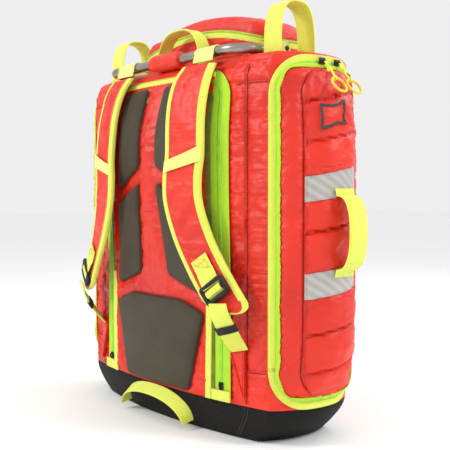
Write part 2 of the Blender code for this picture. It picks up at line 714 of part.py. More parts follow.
def tube_frame():
    bend = TUBE_LEG_X - TUBE_BEND
    half = [Vector((bend * k / 5, TUBE_Y, TUBE_Z)) for k in range(6)]
    for k in range(1, 6):
        turn = math.pi / 2 * k / 5
        x, y = TUBE_BEND * math.sin(turn), TUBE_BEND * (1 - math.cos(turn))
        half.append(Vector((bend + x, TUBE_Y + y, TUBE_Z)))
    half.append(Vector((TUBE_LEG_X, TUBE_END_Y, TUBE_Z)))
    path = [Vector((-p.x, p.y, p.z)) for p in half[:0:-1]] + half
    pipe("frame_tube", path, TUBE_R, TUBE_BORE, 12, "satin_aluminium")
    grip = [Vector((-0.042 + 0.084 * k / 4, TUBE_Y, TUBE_Z)) for k in range(5)]
    pipe("tube_grip", grip, TUBE_R + 0.0045, TUBE_R + GAP, 12, "red_fabric")
    for word, side in SIDES.items():
        leg = [Vector((side * TUBE_LEG_X, y, TUBE_Z)) for y in (-0.038, 0.008)]
        pipe(f"tube_anchor_{word}", leg, TUBE_R + 0.0015, TUBE_R + GAP, 12, "yellow_webbing")
        for number, y in ((1, -0.026), (2, -0.003)):
            base = TUBE_Z + TUBE_R + 0.0015 + GAP
            rivet = rod_shape((side * TUBE_LEG_X, y, base), (side * TUBE_LEG_X, y, base + 0.002), 0.0042, 10)
            add(f"tube_rivet_{word}_{number}", *rivet, "rivet_steel")


def strap_frames(side):
    """The strap's centre, its width's direction and its outward normal at each path point."""
    frames = []
    for x, depth, z, turn in STRAP_PATH:
        angle = math.radians(turn)
        wide = Vector((side * math.cos(angle), math.sin(angle), 0))
        out = Vector((side * math.sin(angle), -math.cos(angle), 0))
        frames.append((Vector((side * x, -HALF_DEPTH + depth, z)), wide, out))
    return frames


def shoulder_strap(word, side):
    frames = strap_frames(side)
    rings = []
    last = len(frames) - 1
    for i, (centre, wide, out) in enumerate(frames):
        half = STRAP_WIDTH / 2 * (0.93 if i == 0 else 1.0)
        rings.append(strap_section(centre, wide, out, half))
    centre, wide, out = frames[last]
    down = (centre - frames[last - 1][0]).normalized()
    for along, share in ((0.016, 0.80), (0.024, 0.50)):
        rings.append(strap_section(centre + down * along, wide, out, STRAP_WIDTH / 2 * share))
    pivot = (side * STRAP_PATH[0][0], TUBE_Y, TUBE_Z)
    strap = add(f"shoulder_strap_{word}", *loft(rings), "red_fabric", pivot)
    yoke(word, side, strap, pivot)
    ladder_lock(word, side, strap, pivot, frames)
    tail(word, side, frames)


def strap_section(centre, wide, out, half):
    """The strap's cross-section, with thinner edges."""
    upper = ((-1, 0.5), (-0.86, 1), (0, 1.0), (0.86, 1), (1, 0.5))
    lower = ((1, -0.5), (0.86, -1), (-0.86, -1))
    shape = ((-1, -0.5), *upper, *lower)
    return [centre + wide * half * u + out * STRAP_THICK / 2 * v for u, v in shape]


def yoke(word, side, strap, pivot):
    """The webbing that hangs a strap from the tube: up from the strap's top edge and round the tube."""
    path = []
    radius = TUBE_R + GAP + WEB / 2 + 0.0002
    for k in range(9):
        turn = math.radians(200 - 250 * k / 8)
        y, z = TUBE_Y + radius * math.cos(turn), TUBE_Z + radius * math.sin(turn)
        path.append((side * YOKE_X, y, z))
    path.insert(0, (side * YOKE_X, TUBE_Y - 0.0130, 0.5735))
    web(f"strap_yoke_{word}", path, (1, 0, 0), YOKE_WEB, WEB, "yellow_webbing", pivot, strap)


def ladder_lock(word, side, strap, pivot, frames):
    """A frame buckle with two slots; it hangs on the strap's short webbing by its upper bar."""
    centre, wide, out = frames[-2]
    lower = frames[-1][0]
    down = (lower - centre).normalized()
    down = (down - out * down.dot(out)).normalized()
    wide = out.cross(down).normalized() * side
    middle = centre + down * 0.028 + out * (STRAP_THICK / 2 + 0.0075)
    hinge = middle - down * 0.012
    half_w, half_h, half_t = 0.0225, 0.0135, 0.0030
    rings = []
    for level in (-half_t, half_t):
        rings.append([middle + wide * u * half_w + down * v * half_h + out * level for u, v in CORNERS])
    lock = add(f"ladder_lock_{word}", *loft(rings), "dark_plastic", hinge, strap)
    for number, offset in enumerate((-0.0050, 0.0055)):
        slot = middle + down * offset
        rings = []
        for level in (-2 * half_t, 2 * half_t):
            rings.append([slot + wide * u * 0.0175 + down * v * 0.0035 + out * level for u, v in CORNERS])
        cut(lock, *loft(rings), f"lock_slot_{word}_{number}")


def tail(word, side, frames):
    """The adjusting webbing, from the lock's lower bar down to the wedge tab, with its elastic keeper."""
    top = Vector((side * 0.1995, -HALF_DEPTH - 0.0520, 0.2120))
    foot = Vector((side * 0.1965, -HALF_DEPTH - 0.0080, 0.1510))
    middle = top.lerp(foot, 0.5) + Vector((side * 0.001, -0.006, 0))
    upper = top.lerp(middle, 0.5) + Vector((0, -0.003, 0))
    lower = middle.lerp(foot, 0.5) + Vector((0, -0.001, 0))
    path = [top, upper, middle, lower, foot]
    turns = []
    for angle in (22, 24, 24, 22, 16):
        turn = math.radians(angle)
        turns.append(Vector((side * math.cos(turn), math.sin(turn), 0.30)))
    web(f"strap_tail_{word}", path, turns, TAIL_WEB, WEB * 2, "yellow_webbing")
    along = (path[3] - path[1]).normalized()
    wide = (turns[2] - along * turns[2].dot(along)).normalized()
    out = along.cross(wide).normalized()
    rings = []
    for u, v in CORNERS:
        ring = []
        for reach, grow in ((-0.006, 0.0012), (0.006, 0.0012), (0.006, 0.0032), (-0.006, 0.0032)):
            across = wide * u * (TAIL_WEB / 2 + grow)
            deep = out * v * (WEB + grow)
            ring.append(path[2] + along * reach + across + deep)
        rings.append(ring)
    points = [p for ring in rings for p in ring]
    faces = []
    for r in range(4):
        faces += ring_faces(r * 4, (r + 1) % 4 * 4, 4)
    add(f"tail_keeper_{word}", points, faces, "elastic_black")


def top_loops():
    base = BODY_TOP + GAP + 0.001
    for word, side in SIDES.items():
        x = side * 0.2175
        path = arch((x, -0.0495, base), (x, 0.0195, base), 0.078, (0, 0, 1), 13, 3.0)
        pivot = (side * 0.2375, -0.015, base)
        web(f"top_loop_{word}", path, (1, 0, 0), LOOP_WEB, WEB, "yellow_webbing", pivot)
    path = arch((-0.058, -0.055, base), (0.058, -0.055, base), 0.063, (0, 0, 1), 13, 2.6)
    web("top_loop_centre", path, (0, 1, 0), GRAB_WEB, WEB, "yellow_webbing", (0, -0.041, base))


def drag_handle():
    y = -0.1125
    path = arch((-0.090, y, 0.012), (0.090, y, 0.012), 0.038, (0, -0.25, 1), 13, 2.2)
    web("drag_handle", path, (0, 0.75, 0.66), GRAB_WEB, WEB, "yellow_webbing", (0, y - 0.013, 0.012))


def main():
    for thing in list(bpy.data.objects):
        bpy.data.objects.remove(thing)
    for name, (colour, roughness, metallic) in MATERIALS.items():
        material = bpy.data.materials.new(name)
        material.use_nodes = True
        shader = material.node_tree.nodes["Principled BSDF"]
        shader.inputs["Base Color"].default_value = (*colour, 1)
        shader.inputs["Roughness"].default_value = roughness
        shader.inputs["Metallic"].default_value = metallic
    main_shell()
    boot()
    inner_sheets()
    harness()
    wedge_tabs()
    for word, side in SIDES.items():
        side_pocket(word, side)
        shoulder_strap(word, side)
    top_pocket()
    front_door()
    tube_frame()
    top_loops()
    drag_handle()


main()
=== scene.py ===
"""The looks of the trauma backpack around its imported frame.

Metres, in the frame's own coordinates: +Z up, the harness faces -Y, the side pockets face -X and +X.
"""

import json
import math

import bmesh
import bpy
import numpy as np
from mathutils import Vector, noise
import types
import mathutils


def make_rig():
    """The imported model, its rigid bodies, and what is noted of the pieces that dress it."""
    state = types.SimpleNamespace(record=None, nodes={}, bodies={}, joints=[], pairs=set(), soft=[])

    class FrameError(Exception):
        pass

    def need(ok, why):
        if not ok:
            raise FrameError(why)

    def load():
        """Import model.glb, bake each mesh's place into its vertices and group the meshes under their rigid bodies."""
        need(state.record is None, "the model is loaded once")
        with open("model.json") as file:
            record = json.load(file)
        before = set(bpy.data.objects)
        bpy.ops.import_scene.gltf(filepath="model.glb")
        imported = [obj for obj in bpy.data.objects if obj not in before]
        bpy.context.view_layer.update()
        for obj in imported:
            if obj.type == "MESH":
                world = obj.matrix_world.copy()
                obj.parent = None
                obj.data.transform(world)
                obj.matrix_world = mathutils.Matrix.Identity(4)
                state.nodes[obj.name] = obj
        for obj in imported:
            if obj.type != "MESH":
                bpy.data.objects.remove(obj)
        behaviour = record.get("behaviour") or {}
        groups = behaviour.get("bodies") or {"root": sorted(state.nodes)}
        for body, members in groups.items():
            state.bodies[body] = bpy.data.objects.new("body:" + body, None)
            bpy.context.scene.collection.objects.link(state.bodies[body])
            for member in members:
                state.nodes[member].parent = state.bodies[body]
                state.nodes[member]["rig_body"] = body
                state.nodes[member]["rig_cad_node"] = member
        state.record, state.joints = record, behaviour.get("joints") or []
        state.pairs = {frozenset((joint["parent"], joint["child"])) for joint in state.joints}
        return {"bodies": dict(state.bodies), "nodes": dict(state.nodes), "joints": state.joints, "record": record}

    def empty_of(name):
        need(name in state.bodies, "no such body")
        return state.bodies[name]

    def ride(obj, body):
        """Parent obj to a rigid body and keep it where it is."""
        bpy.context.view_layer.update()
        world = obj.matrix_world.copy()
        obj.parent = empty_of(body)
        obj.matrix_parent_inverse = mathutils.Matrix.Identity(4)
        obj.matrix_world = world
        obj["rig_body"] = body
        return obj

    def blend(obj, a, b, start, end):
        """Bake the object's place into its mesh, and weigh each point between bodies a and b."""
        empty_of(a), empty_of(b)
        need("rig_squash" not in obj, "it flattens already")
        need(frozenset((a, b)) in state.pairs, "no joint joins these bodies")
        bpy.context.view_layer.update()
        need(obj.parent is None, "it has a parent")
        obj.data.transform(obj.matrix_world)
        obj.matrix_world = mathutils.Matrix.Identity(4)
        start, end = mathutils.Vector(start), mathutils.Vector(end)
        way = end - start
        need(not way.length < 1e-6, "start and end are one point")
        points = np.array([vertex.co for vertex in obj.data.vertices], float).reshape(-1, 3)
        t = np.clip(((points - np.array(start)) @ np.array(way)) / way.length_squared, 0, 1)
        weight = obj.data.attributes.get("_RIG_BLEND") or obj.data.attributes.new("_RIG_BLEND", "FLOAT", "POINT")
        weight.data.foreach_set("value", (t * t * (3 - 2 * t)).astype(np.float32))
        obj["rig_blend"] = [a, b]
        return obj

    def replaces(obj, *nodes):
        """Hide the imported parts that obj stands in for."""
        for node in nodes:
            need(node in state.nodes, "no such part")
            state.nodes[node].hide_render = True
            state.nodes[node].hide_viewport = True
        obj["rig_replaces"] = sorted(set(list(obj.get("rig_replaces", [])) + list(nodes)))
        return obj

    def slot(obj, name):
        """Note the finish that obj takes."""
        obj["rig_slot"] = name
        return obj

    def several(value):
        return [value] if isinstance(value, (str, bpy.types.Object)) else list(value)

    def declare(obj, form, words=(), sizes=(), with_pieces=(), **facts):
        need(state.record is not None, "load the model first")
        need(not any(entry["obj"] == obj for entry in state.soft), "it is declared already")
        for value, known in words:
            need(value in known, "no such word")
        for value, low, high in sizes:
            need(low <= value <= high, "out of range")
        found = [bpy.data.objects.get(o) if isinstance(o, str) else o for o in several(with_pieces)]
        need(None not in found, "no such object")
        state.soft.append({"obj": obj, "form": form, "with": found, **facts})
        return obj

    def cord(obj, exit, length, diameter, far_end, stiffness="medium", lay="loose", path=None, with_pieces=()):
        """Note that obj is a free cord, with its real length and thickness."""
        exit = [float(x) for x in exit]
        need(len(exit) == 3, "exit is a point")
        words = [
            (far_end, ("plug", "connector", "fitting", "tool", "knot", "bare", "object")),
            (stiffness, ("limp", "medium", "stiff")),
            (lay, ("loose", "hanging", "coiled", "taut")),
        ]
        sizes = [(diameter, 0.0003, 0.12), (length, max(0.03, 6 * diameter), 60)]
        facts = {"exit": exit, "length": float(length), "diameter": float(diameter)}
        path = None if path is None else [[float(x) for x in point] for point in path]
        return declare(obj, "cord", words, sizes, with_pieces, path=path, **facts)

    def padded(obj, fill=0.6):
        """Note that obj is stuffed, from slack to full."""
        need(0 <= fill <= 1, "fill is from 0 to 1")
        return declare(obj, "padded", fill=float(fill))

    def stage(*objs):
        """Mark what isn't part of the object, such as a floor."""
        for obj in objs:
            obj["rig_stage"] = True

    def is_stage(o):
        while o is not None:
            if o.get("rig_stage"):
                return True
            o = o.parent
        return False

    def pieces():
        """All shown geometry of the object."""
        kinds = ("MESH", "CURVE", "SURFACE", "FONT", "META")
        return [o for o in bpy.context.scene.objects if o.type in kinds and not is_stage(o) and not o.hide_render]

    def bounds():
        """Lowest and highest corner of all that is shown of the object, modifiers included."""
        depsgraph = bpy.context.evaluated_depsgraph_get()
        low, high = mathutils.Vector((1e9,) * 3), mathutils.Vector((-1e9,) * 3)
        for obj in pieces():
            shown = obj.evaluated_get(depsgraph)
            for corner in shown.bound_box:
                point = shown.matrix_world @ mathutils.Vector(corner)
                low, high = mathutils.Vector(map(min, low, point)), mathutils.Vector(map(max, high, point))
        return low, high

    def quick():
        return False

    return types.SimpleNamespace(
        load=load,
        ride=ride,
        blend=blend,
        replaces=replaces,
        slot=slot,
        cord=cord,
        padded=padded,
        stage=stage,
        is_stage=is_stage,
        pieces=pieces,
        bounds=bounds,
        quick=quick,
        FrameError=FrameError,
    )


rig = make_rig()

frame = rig.load()
cad_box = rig.bounds()

SIDES = {"left": -1, "right": 1}
BOTH = (-1, 1)
X, Y, Z = Vector((1, 0, 0)), Vector((0, 1, 0)), Vector((0, 0, 1))

# ---- dimensions shared with the frame
HALF_DEPTH = 0.0875
SEAM_X, EDGE_X, EDGE_Y = 0.204, 0.245, 0.0795
SIDE_RADIUS, SIDE_CENTRE_X = 0.1305, 0.1415
BODY_TOP, BOOT_TOP = 0.578, 0.055
FOOT_WIDTH_SHARE, FOOT_DEPTH_SHARE = 0.84, 0.90
PANEL_HALF, PANEL_HIGH = 0.140, 0.550
POCKET_LOW, POCKET_HIGH, POCKET_ARC, POCKET_CORNER = 0.068, 0.559, 0.0745, 0.045
FACE_HALF, FACE_SEAM_X, FACE_X = 0.0505, 0.285, 0.314
RECESS_X, RECESS_HALF, RECESS_LOW, RECESS_HIGH = 0.215, 0.060, 0.090, 0.540
MOUTH_HALF, MOUTH_LOW, MOUTH_HIGH = 0.160, 0.095, 0.525
TUBE_Y, TUBE_Z, TUBE_R = -0.0875, 0.588, 0.0078
TUBE_LEG_X, TUBE_BEND, TUBE_END_Y = 0.187, 0.036, 0.010
HUMP_HALF_X, HUMP_BACK, HUMP_FRONT, HUMP_CORNER = 0.165, -0.030, 0.080, 0.032
HUMP_ZIP_END, HUMP_ZIP_RISE = 0.612, 0.028
STRAP_HALF, STRAP_THICK = 0.037, 0.010
STRAP_PATH = (               # x, y from the harness plane, z and turn outwards in degrees
    (0.110, -0.0160, 0.568, 6),
    (0.111, -0.0310, 0.545, 9),
    (0.112, -0.0410, 0.515, 11),
    (0.114, -0.0470, 0.480, 11),
    (0.1165, -0.0500, 0.430, 11),
    (0.113, -0.0520, 0.395, 11),
    (0.116, -0.0520, 0.356, 12),
    (0.137, -0.0480, 0.303, 15),
    (0.168, -0.0420, 0.253, 18),
    (0.194, -0.0360, 0.217, 20),
)

# ---- the studio
LENS, SENSOR = 67.2, 36
EYE, EYE_TILT, EYE_TURN = (1.149, -0.883, 0.369), 90 - 2.05, 51.4
WORLD_STRENGTH, FLOOR_HALF, FLOOR_SHADE = 0.86, 14.0, 0.97
LAMPS = (                    # name, place, target, size and power
    ("key", (-0.7, -1.9, 1.7), (0.05, 0, 0.30), 0.6, 26),
    ("side", (1.9, 0.7, 1.9), (0.2, 0, 0.35), 0.5, 22),
    ("back", (0.2, 1.9, 1.9), (0, 0, 0.4), 1.0, 10),
)


def added(name, data):
    """A new object in the scene."""
    thing = bpy.data.objects.new(name, data)
    bpy.context.scene.collection.objects.link(thing)
    return thing


def camera():
    data = bpy.data.cameras.new("camera")
    data.lens, data.sensor_width = LENS, SENSOR
    eye = added("camera", data)
    eye.location = EYE
    eye.rotation_euler = (math.radians(EYE_TILT), 0, math.radians(EYE_TURN))
    bpy.context.scene.camera = eye


def lamp(name, spot, target, size, power):
    data = bpy.data.lights.new(name, "AREA")
    data.shape, data.size, data.energy = "SQUARE", size, power
    thing = added(name, data)
    thing.location = spot
    thing.rotation_euler = (Vector(target) - Vector(spot)).to_track_quat("-Z", "Y").to_euler()


def studio():
    world = bpy.data.worlds.new("world")
    world.use_nodes = True
    sky = world.node_tree.nodes["Background"].inputs
    sky["Color"].default_value = (1, 1, 1, 1)
    sky["Strength"].default_value = WORLD_STRENGTH
    bpy.context.scene.world = world
    bpy.context.scene.view_settings.view_transform = "Standard"
    for row in LAMPS:
        lamp(*row)
    mesh = bpy.data.meshes.new("floor")
    corners = [(x * FLOOR_HALF, y * FLOOR_HALF, 0) for x, y in ((-1, -1), (1, -1), (1, 1), (-1, 1))]
    mesh.from_pydata(corners, [], [(0, 1, 2, 3)])
    paint = bpy.data.materials.new("floor_paint")
    paint.use_nodes = True
    shader = paint.node_tree.nodes["Principled BSDF"].inputs
    shader["Base Color"].default_value = (FLOOR_SHADE, FLOOR_SHADE, FLOOR_SHADE, 1)
    shader["Roughness"].default_value = 0.9
    shader["Specular IOR Level"].default_value = 0.1
    mesh.materials.append(paint)
    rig.stage(added("floor", mesh))


# ---- materials

def build(tree, kind, inputs=(), **settings):
    """A new node, with its settings and its inputs set or linked."""
    made = tree.nodes.new(kind)
    for name, value in settings.items():
        setattr(made, name, value)
    for name, value in dict(inputs).items():
        if isinstance(value, bpy.types.NodeSocket):
            tree.links.new(value, made.inputs[name])
        else:
            made.inputs[name].default_value = value
    return made


def place(tree, source, scale):
    """Texture coordinates of a kind, stretched."""
    coordinates = build(tree, "ShaderNodeTexCoord").outputs[source]
    return build(tree, "ShaderNodeMapping", {"Vector": coordinates, "Scale": scale}).outputs[0]


def speckle(tree, vector, detail):
    inputs = {"Vector": vector, "Scale": 1.0, "Detail": detail}
    return build(tree, "ShaderNodeTexNoise", inputs).outputs["Fac"]


def waves(tree, vector, direction):
    made = build(tree, "ShaderNodeTexWave", {"Vector": vector, "Scale": 1.0}, bands_direction=direction)
    return made.outputs["Fac"]


def maths(tree, operation, *values):
    made = build(tree, "ShaderNodeMath", operation=operation)
    for socket, value in zip(made.inputs, values):
        if isinstance(value, bpy.types.NodeSocket):
            tree.links.new(value, socket)
        else:
            socket.default_value = value
    return made.outputs[0]


def ramp(tree, value, low, high):
    """Two colours across the middle of a value's range."""
    made = build(tree, "ShaderNodeValToRGB", {"Fac": value})
    for element, position, colour in zip(made.color_ramp.elements, (0.3, 0.7), (low, high)):
        element.position = position
        element.color = (*colour, 1)
    return made.outputs["Color"]


def fabric(name, low, high, roughness, layers, tone, sheen=0.0, specular=0.5, metallic=0.0, grain=None):
    """Cloth, plastic or metal.

    layers are (socket maker, depth in metres) pairs of relief, and grain is the one of them that also tints.
    """
    material = bpy.data.materials.new(name)
    material.use_nodes = True
    tree = material.node_tree
    shader = tree.nodes["Principled BSDF"].inputs
    shader["Metallic"].default_value = metallic
    shader["Sheen Weight"].default_value = sheen
    shader["Specular IOR Level"].default_value = specular
    relief = [(make(tree), depth) for make, depth in layers]
    value = speckle(tree, place(tree, "Object", (tone, tone, tone)), 4.0)
    if grain is not None:
        value = maths(tree, "MULTIPLY_ADD", relief[grain][0], 0.5, maths(tree, "MULTIPLY", value, 0.5))
    tree.links.new(ramp(tree, value, low, high), shader["Base Color"])
    tree.links.new(maths(tree, "MULTIPLY_ADD", value, 0.16, roughness - 0.08), shader["Roughness"])
    inputs = {}
    for height, depth in relief:
        inputs.update({"Height": height, "Distance": depth, "Strength": 1.0})
        inputs["Normal"] = build(tree, "ShaderNodeBump", inputs).outputs["Normal"]
    tree.links.new(inputs["Normal"], shader["Normal"])
    return material


def wave_scale(pitch):
    """The stretch that puts a wave texture's bands a distance apart."""
    k = 2 * math.pi / 20 / pitch
    return (k, k, k)


def weave(pitch):
    """Crossing sets of threads, the given distance apart."""
    def make(tree):
        vector = place(tree, "Object", wave_scale(pitch))
        across = maths(tree, "MAXIMUM", waves(tree, vector, "X"), waves(tree, vector, "Y"))
        return maths(tree, "MULTIPLY", across, waves(tree, vector, "Z"))

    return make


def creases(scale, detail=2.0):
    """Noise, stretched where its scales differ."""
    return lambda tree: speckle(tree, place(tree, "Object", scale), detail)


def ribs(direction, pitch):
    return lambda tree: waves(tree, place(tree, "UV", wave_scale(pitch)), direction)


def bands(count):
    return lambda tree: waves(tree, place(tree, "UV", (count, count, 1)), "DIAGONAL")


def dots(pitch):
    """Round moulded bumps."""
    def make(tree):
        inputs = {"Vector": place(tree, "Object", (1 / pitch,) * 3), "Randomness": 0.35}
        return maths(tree, "SUBTRACT", 1.0, build(tree, "ShaderNodeTexVoronoi", inputs).outputs["Distance"])

    return make


def fine(depth):
    """The faint grain of moulded, drawn or twisted stuff."""
    return [(creases((900, 900, 900)), depth)]


# name, darkest and lightest colour, roughness, relief and scale of the tone, then what fabric() takes by name
RECIPES = {
    "red": ("red_cloth", (0.60, 0.013, 0.004), (0.84, 0.030, 0.007), 0.38,
            [(creases((13, 13, 66), 1.8), 0.0080), (weave(0.0011), 0.00010)], 6.0, dict(specular=0.45)),
    "red_soft": ("red_quilt_cloth", (0.60, 0.013, 0.004), (0.82, 0.029, 0.007), 0.38,
                 [(creases((14, 18, 48)), 0.0040), (weave(0.0011), 0.00010)], 6.0, dict(specular=0.45)),
    # red_dark is painted shade: a dark red for seam grooves, creases round the pads, the walls inside openings and the
    # undersides of the lid, the hump and the front door
    "red_dark": ("red_lining", (0.16, 0.005, 0.003), (0.25, 0.010, 0.005), 0.65,
                 [(weave(0.0016), 0.0002)], 12.0),
    "webbing": ("webbing", (0.74, 0.86, 0.075), (0.92, 0.98, 0.17), 0.72,
                [(ribs("Y", 0.0021), 0.0004), (ribs("X", 0.0016), 0.0003)], 60.0,
                dict(sheen=0.2, specular=0.3, grain=1)),
    "pale": ("pale_webbing", (0.80, 0.88, 0.22), (0.95, 0.98, 0.36), 0.7,
             [(ribs("Y", 0.0019), 0.0004), (ribs("X", 0.0014), 0.0003)], 60.0,
             dict(sheen=0.2, specular=0.3, grain=1)),
    "tape": ("zip_tape", (0.36, 0.70, 0.012), (0.55, 0.86, 0.035), 0.7,
             [(ribs("X", 0.0012), 0.0002), (ribs("Y", 0.0012), 0.0002)], 50.0,
             dict(sheen=0.1, specular=0.3, grain=0)),
    # olive is painted shade: a dark olive strip for the shadow between the back panel's edge and the harness zip's
    # tape
    "olive": ("olive_tape", (0.13, 0.17, 0.02), (0.24, 0.30, 0.035), 0.8,
              [(ribs("Y", 0.0012), 0.0003)], 50.0),
    "coil": ("zip_coil", (0.20, 0.56, 0.008), (0.34, 0.74, 0.02), 0.42, fine(0.0001), 80.0),
    "grey": ("moulded_grey", (0.048, 0.037, 0.022), (0.084, 0.066, 0.041), 0.50,
             [(dots(0.0022), 0.0005), (weave(0.0007), 0.0001)], 26.0, dict(specular=0.3, grain=0)),
    "boot": ("boot_nylon", (0.003, 0.0027, 0.0024), (0.013, 0.0115, 0.010), 0.66,
             [(weave(0.0019), 0.0006), *fine(0.0002)], 130.0, dict(specular=0.22, grain=0)),
    "silver": ("reflective", (0.40, 0.385, 0.36), (0.50, 0.48, 0.45), 0.40,
               [(bands(45), 0.00006)], 30.0, dict(specular=0.6, metallic=0.2, grain=0)),
    "metal": ("satin_tube", (0.27, 0.245, 0.215), (0.40, 0.365, 0.33), 0.34,
              [(creases((30, 900, 900)), 0.00006)], 40.0, dict(metallic=1.0)),
    "plastic": ("dark_plastic", (0.008, 0.008, 0.009), (0.022, 0.022, 0.024), 0.42, fine(0.00012), 60.0,
                dict(specular=0.3)),
    "rivet": ("rivet_metal", (0.030, 0.034, 0.028), (0.075, 0.080, 0.068), 0.32, fine(0.00005), 200.0,
              dict(metallic=0.7)),
    "ring": ("ring_plastic", (0.88, 0.50, 0.01), (0.98, 0.66, 0.02), 0.34, fine(0.00005), 120.0),
    "rope": ("pull_cord", (0.66, 0.88, 0.03), (0.92, 1.0, 0.12), 0.6,
             [(creases((700, 700, 700)), 0.0004)], 400.0),
    "black": ("elastic", (0.008, 0.008, 0.008), (0.028, 0.028, 0.028), 0.8,
              [(ribs("X", 0.0013), 0.0004)], 90.0),
    "patch": ("patch_border", (0.035, 0.032, 0.035), (0.08, 0.075, 0.08), 0.75,
              [(weave(0.0009), 0.0003)], 300.0),
    "red_thread": ("red_thread", (0.20, 0.006, 0.004), (0.34, 0.012, 0.007), 0.6, fine(0.0001), 300.0),
    "pale_thread": ("pale_thread", (0.62, 0.74, 0.05), (0.86, 0.95, 0.16), 0.6, fine(0.0001), 300.0),
    "orange_thread": ("orange_thread", (0.78, 0.20, 0.01), (0.95, 0.34, 0.02), 0.6, fine(0.0001), 300.0),
    "dark_thread": ("dark_thread", (0.10, 0.095, 0.08), (0.22, 0.20, 0.17), 0.6, fine(0.0001), 300.0),
    "sheet": ("stiff_sheet", (0.03, 0.03, 0.03), (0.06, 0.06, 0.06), 0.6, fine(0.0002), 80.0),
}
PAINTS = {key: fabric(*row[:6], **dict(*row[6:])) for key, row in RECIPES.items()}


# ---- lines

def spread(low, high, count):
    """Evenly spaced values from low, without high."""
    return [low + (high - low) * k / count for k in range(count)]


def through(low, high, count):
    """Evenly spaced values from low to high."""
    return spread(low, high, count) + [high]


def arc(centre, u, v, turns):
    """Points round an ellipse with the half axes u and v."""
    return [centre + u * math.cos(turn) + v * math.sin(turn) for turn in turns]


def round_turns(count):
    return spread(0, 2 * math.pi, count)


def smooth(value, low, high):
    t = min(1.0, max(0.0, (value - low) / (high - low)))
    return t * t * (3 - 2 * t)


def away(distance, width):
    """1 on a line, falling to 0 at a distance of width."""
    return max(0.0, 1 - abs(distance) / width)


def rounded(corners, radius, spacing):
    """A polygon with round corners and a point at least every spacing."""
    outline = []
    for i, corner in enumerate(corners):
        here = Vector(corner)
        start = here + (Vector(corners[i - 1]) - here).normalized() * radius
        end = here + (Vector(corners[(i + 1) % len(corners)]) - here).normalized() * radius
        outline += [start * (1 - t) ** 2 + here * 2 * t * (1 - t) + end * t * t for t in through(0, 1, 6)]
    full = []
    for here, after in zip(outline, outline[1:] + outline[:1]):
        count = max(1, math.ceil((after - here).length / spacing))
        full += [here.lerp(after, t) for t in spread(0, 1, count)]
    return full


def evenly(line, spacing, closed=False):
    """The same line with evenly spaced points."""
    line = [Vector(p) for p in line]
    if closed:
        line.append(line[0])
    steps = [0.0]
    for a, b in zip(line, line[1:]):
        steps.append(steps[-1] + (b - a).length)
    count = max(2, round(steps[-1] / spacing))
    made, k = [], 0
    for i in range(count if closed else count + 1):
        at = steps[-1] * i / count
        while k < len(steps) - 2 and steps[k + 1] < at:
            k += 1
        made.append(line[k].lerp(line[k + 1], (at - steps[k]) / max(1e-9, steps[k + 1] - steps[k])))
    return made


def arch(start, end, rise, way, count, flatness):
    """A handle's line: an ellipse with flattened sides."""
    start, end, way = Vector(start), Vector(end), Vector(way)
    points = []
    for turn in through(0, math.pi, count - 1):
        level = math.copysign(abs(math.cos(turn)) ** (2 / flatness), math.cos(turn))
        height = rise * max(0.0, math.sin(turn)) ** (2 / flatness)
        points.append(start.lerp(end, (1 - level) / 2) + way * height)
    return points


def direction(path, i, closed=False):
    """The way a path runs at one of its points."""
    after = path[(i + 1) % len(path)] if closed else path[min(i + 1, len(path) - 1)]
    return (after - path[i - 1 if closed or i else 0]).normalized()


def centre_of(outline):
    return sum(outline, Vector((0, 0))) / len(outline)


# ---- the body's surfaces

def harness_y(x, z):
    lean = 0.010 * smooth(z, 0.54, 0.585)
    if abs(x) <= SEAM_X:
        bow = 0.018 + 0.016 * smooth(z, 0.20, 0.42) - 0.028 * smooth(z, 0.45, 0.585)
        return -HALF_DEPTH + lean - bow * (1 - (x / SEAM_X) ** 2)
    return -HALF_DEPTH + lean + (abs(x) - SEAM_X) * (HALF_DEPTH - EDGE_Y) / (EDGE_X - SEAM_X)


def front_y(x):
    return HALF_DEPTH + 0.008 * (1 - (x / SEAM_X) ** 2)


def side_x(y):
    return SIDE_CENTRE_X + math.sqrt(SIDE_RADIUS ** 2 - y * y)


def harness_point(u, v, lift):
    """The harness side by x and z, a lift outside it."""
    step = 0.001
    slope_x = (harness_y(u + step, v) - harness_y(u - step, v)) / (2 * step)
    slope_z = (harness_y(u, v + step) - harness_y(u, v - step)) / (2 * step)
    return Vector((u, harness_y(u, v), v)) + Vector((slope_x, -1, slope_z)).normalized() * lift


def front_point(u, v, lift):
    return Vector((u, front_y(u) + lift, v))


def wall_point(side):
    """The side wall, by the distance along it from its middle and by z."""
    half_arc = SIDE_RADIUS * math.asin(EDGE_Y / SIDE_RADIUS)
    chamfer = Vector((SEAM_X - EDGE_X, HALF_DEPTH - EDGE_Y)).normalized()

    def point(u, v, lift):
        turn = max(-half_arc, min(half_arc, u)) / SIDE_RADIUS
        x = SIDE_CENTRE_X + (SIDE_RADIUS + lift) * math.cos(turn)
        y = (SIDE_RADIUS + lift) * math.sin(turn)
        past = abs(u) - half_arc
        if past > 0:
            x = EDGE_X + chamfer.y * lift + chamfer.x * past
            y = math.copysign(EDGE_Y - chamfer.x * lift + chamfer.y * past, u)
        return Vector((side * x, y, v))

    return point


def face_x(y, z):
    """The outer face of a side pocket."""
    middle, half = (POCKET_LOW + POCKET_HIGH) / 2, (POCKET_HIGH - POCKET_LOW) / 2
    swell = max(0.0, 1 - abs((z - middle) / half) ** 6)
    full = FACE_X - (FACE_X - FACE_SEAM_X) * (y / FACE_HALF) ** 2
    return side_x(y) + 0.005 + (full - side_x(y) - 0.005) * swell


# ---- cloth

SETTLE_FRAMES = 16


def normals_of(points, wrap):
    """Unit normals of a grid of points."""
    down = np.roll(points, -1, 1) - np.roll(points, 1, 1) if wrap else np.gradient(points, axis=1)
    found = np.cross(np.gradient(points, axis=0), down)
    return found / np.maximum(np.linalg.norm(found, axis=2, keepdims=True), 1e-12)


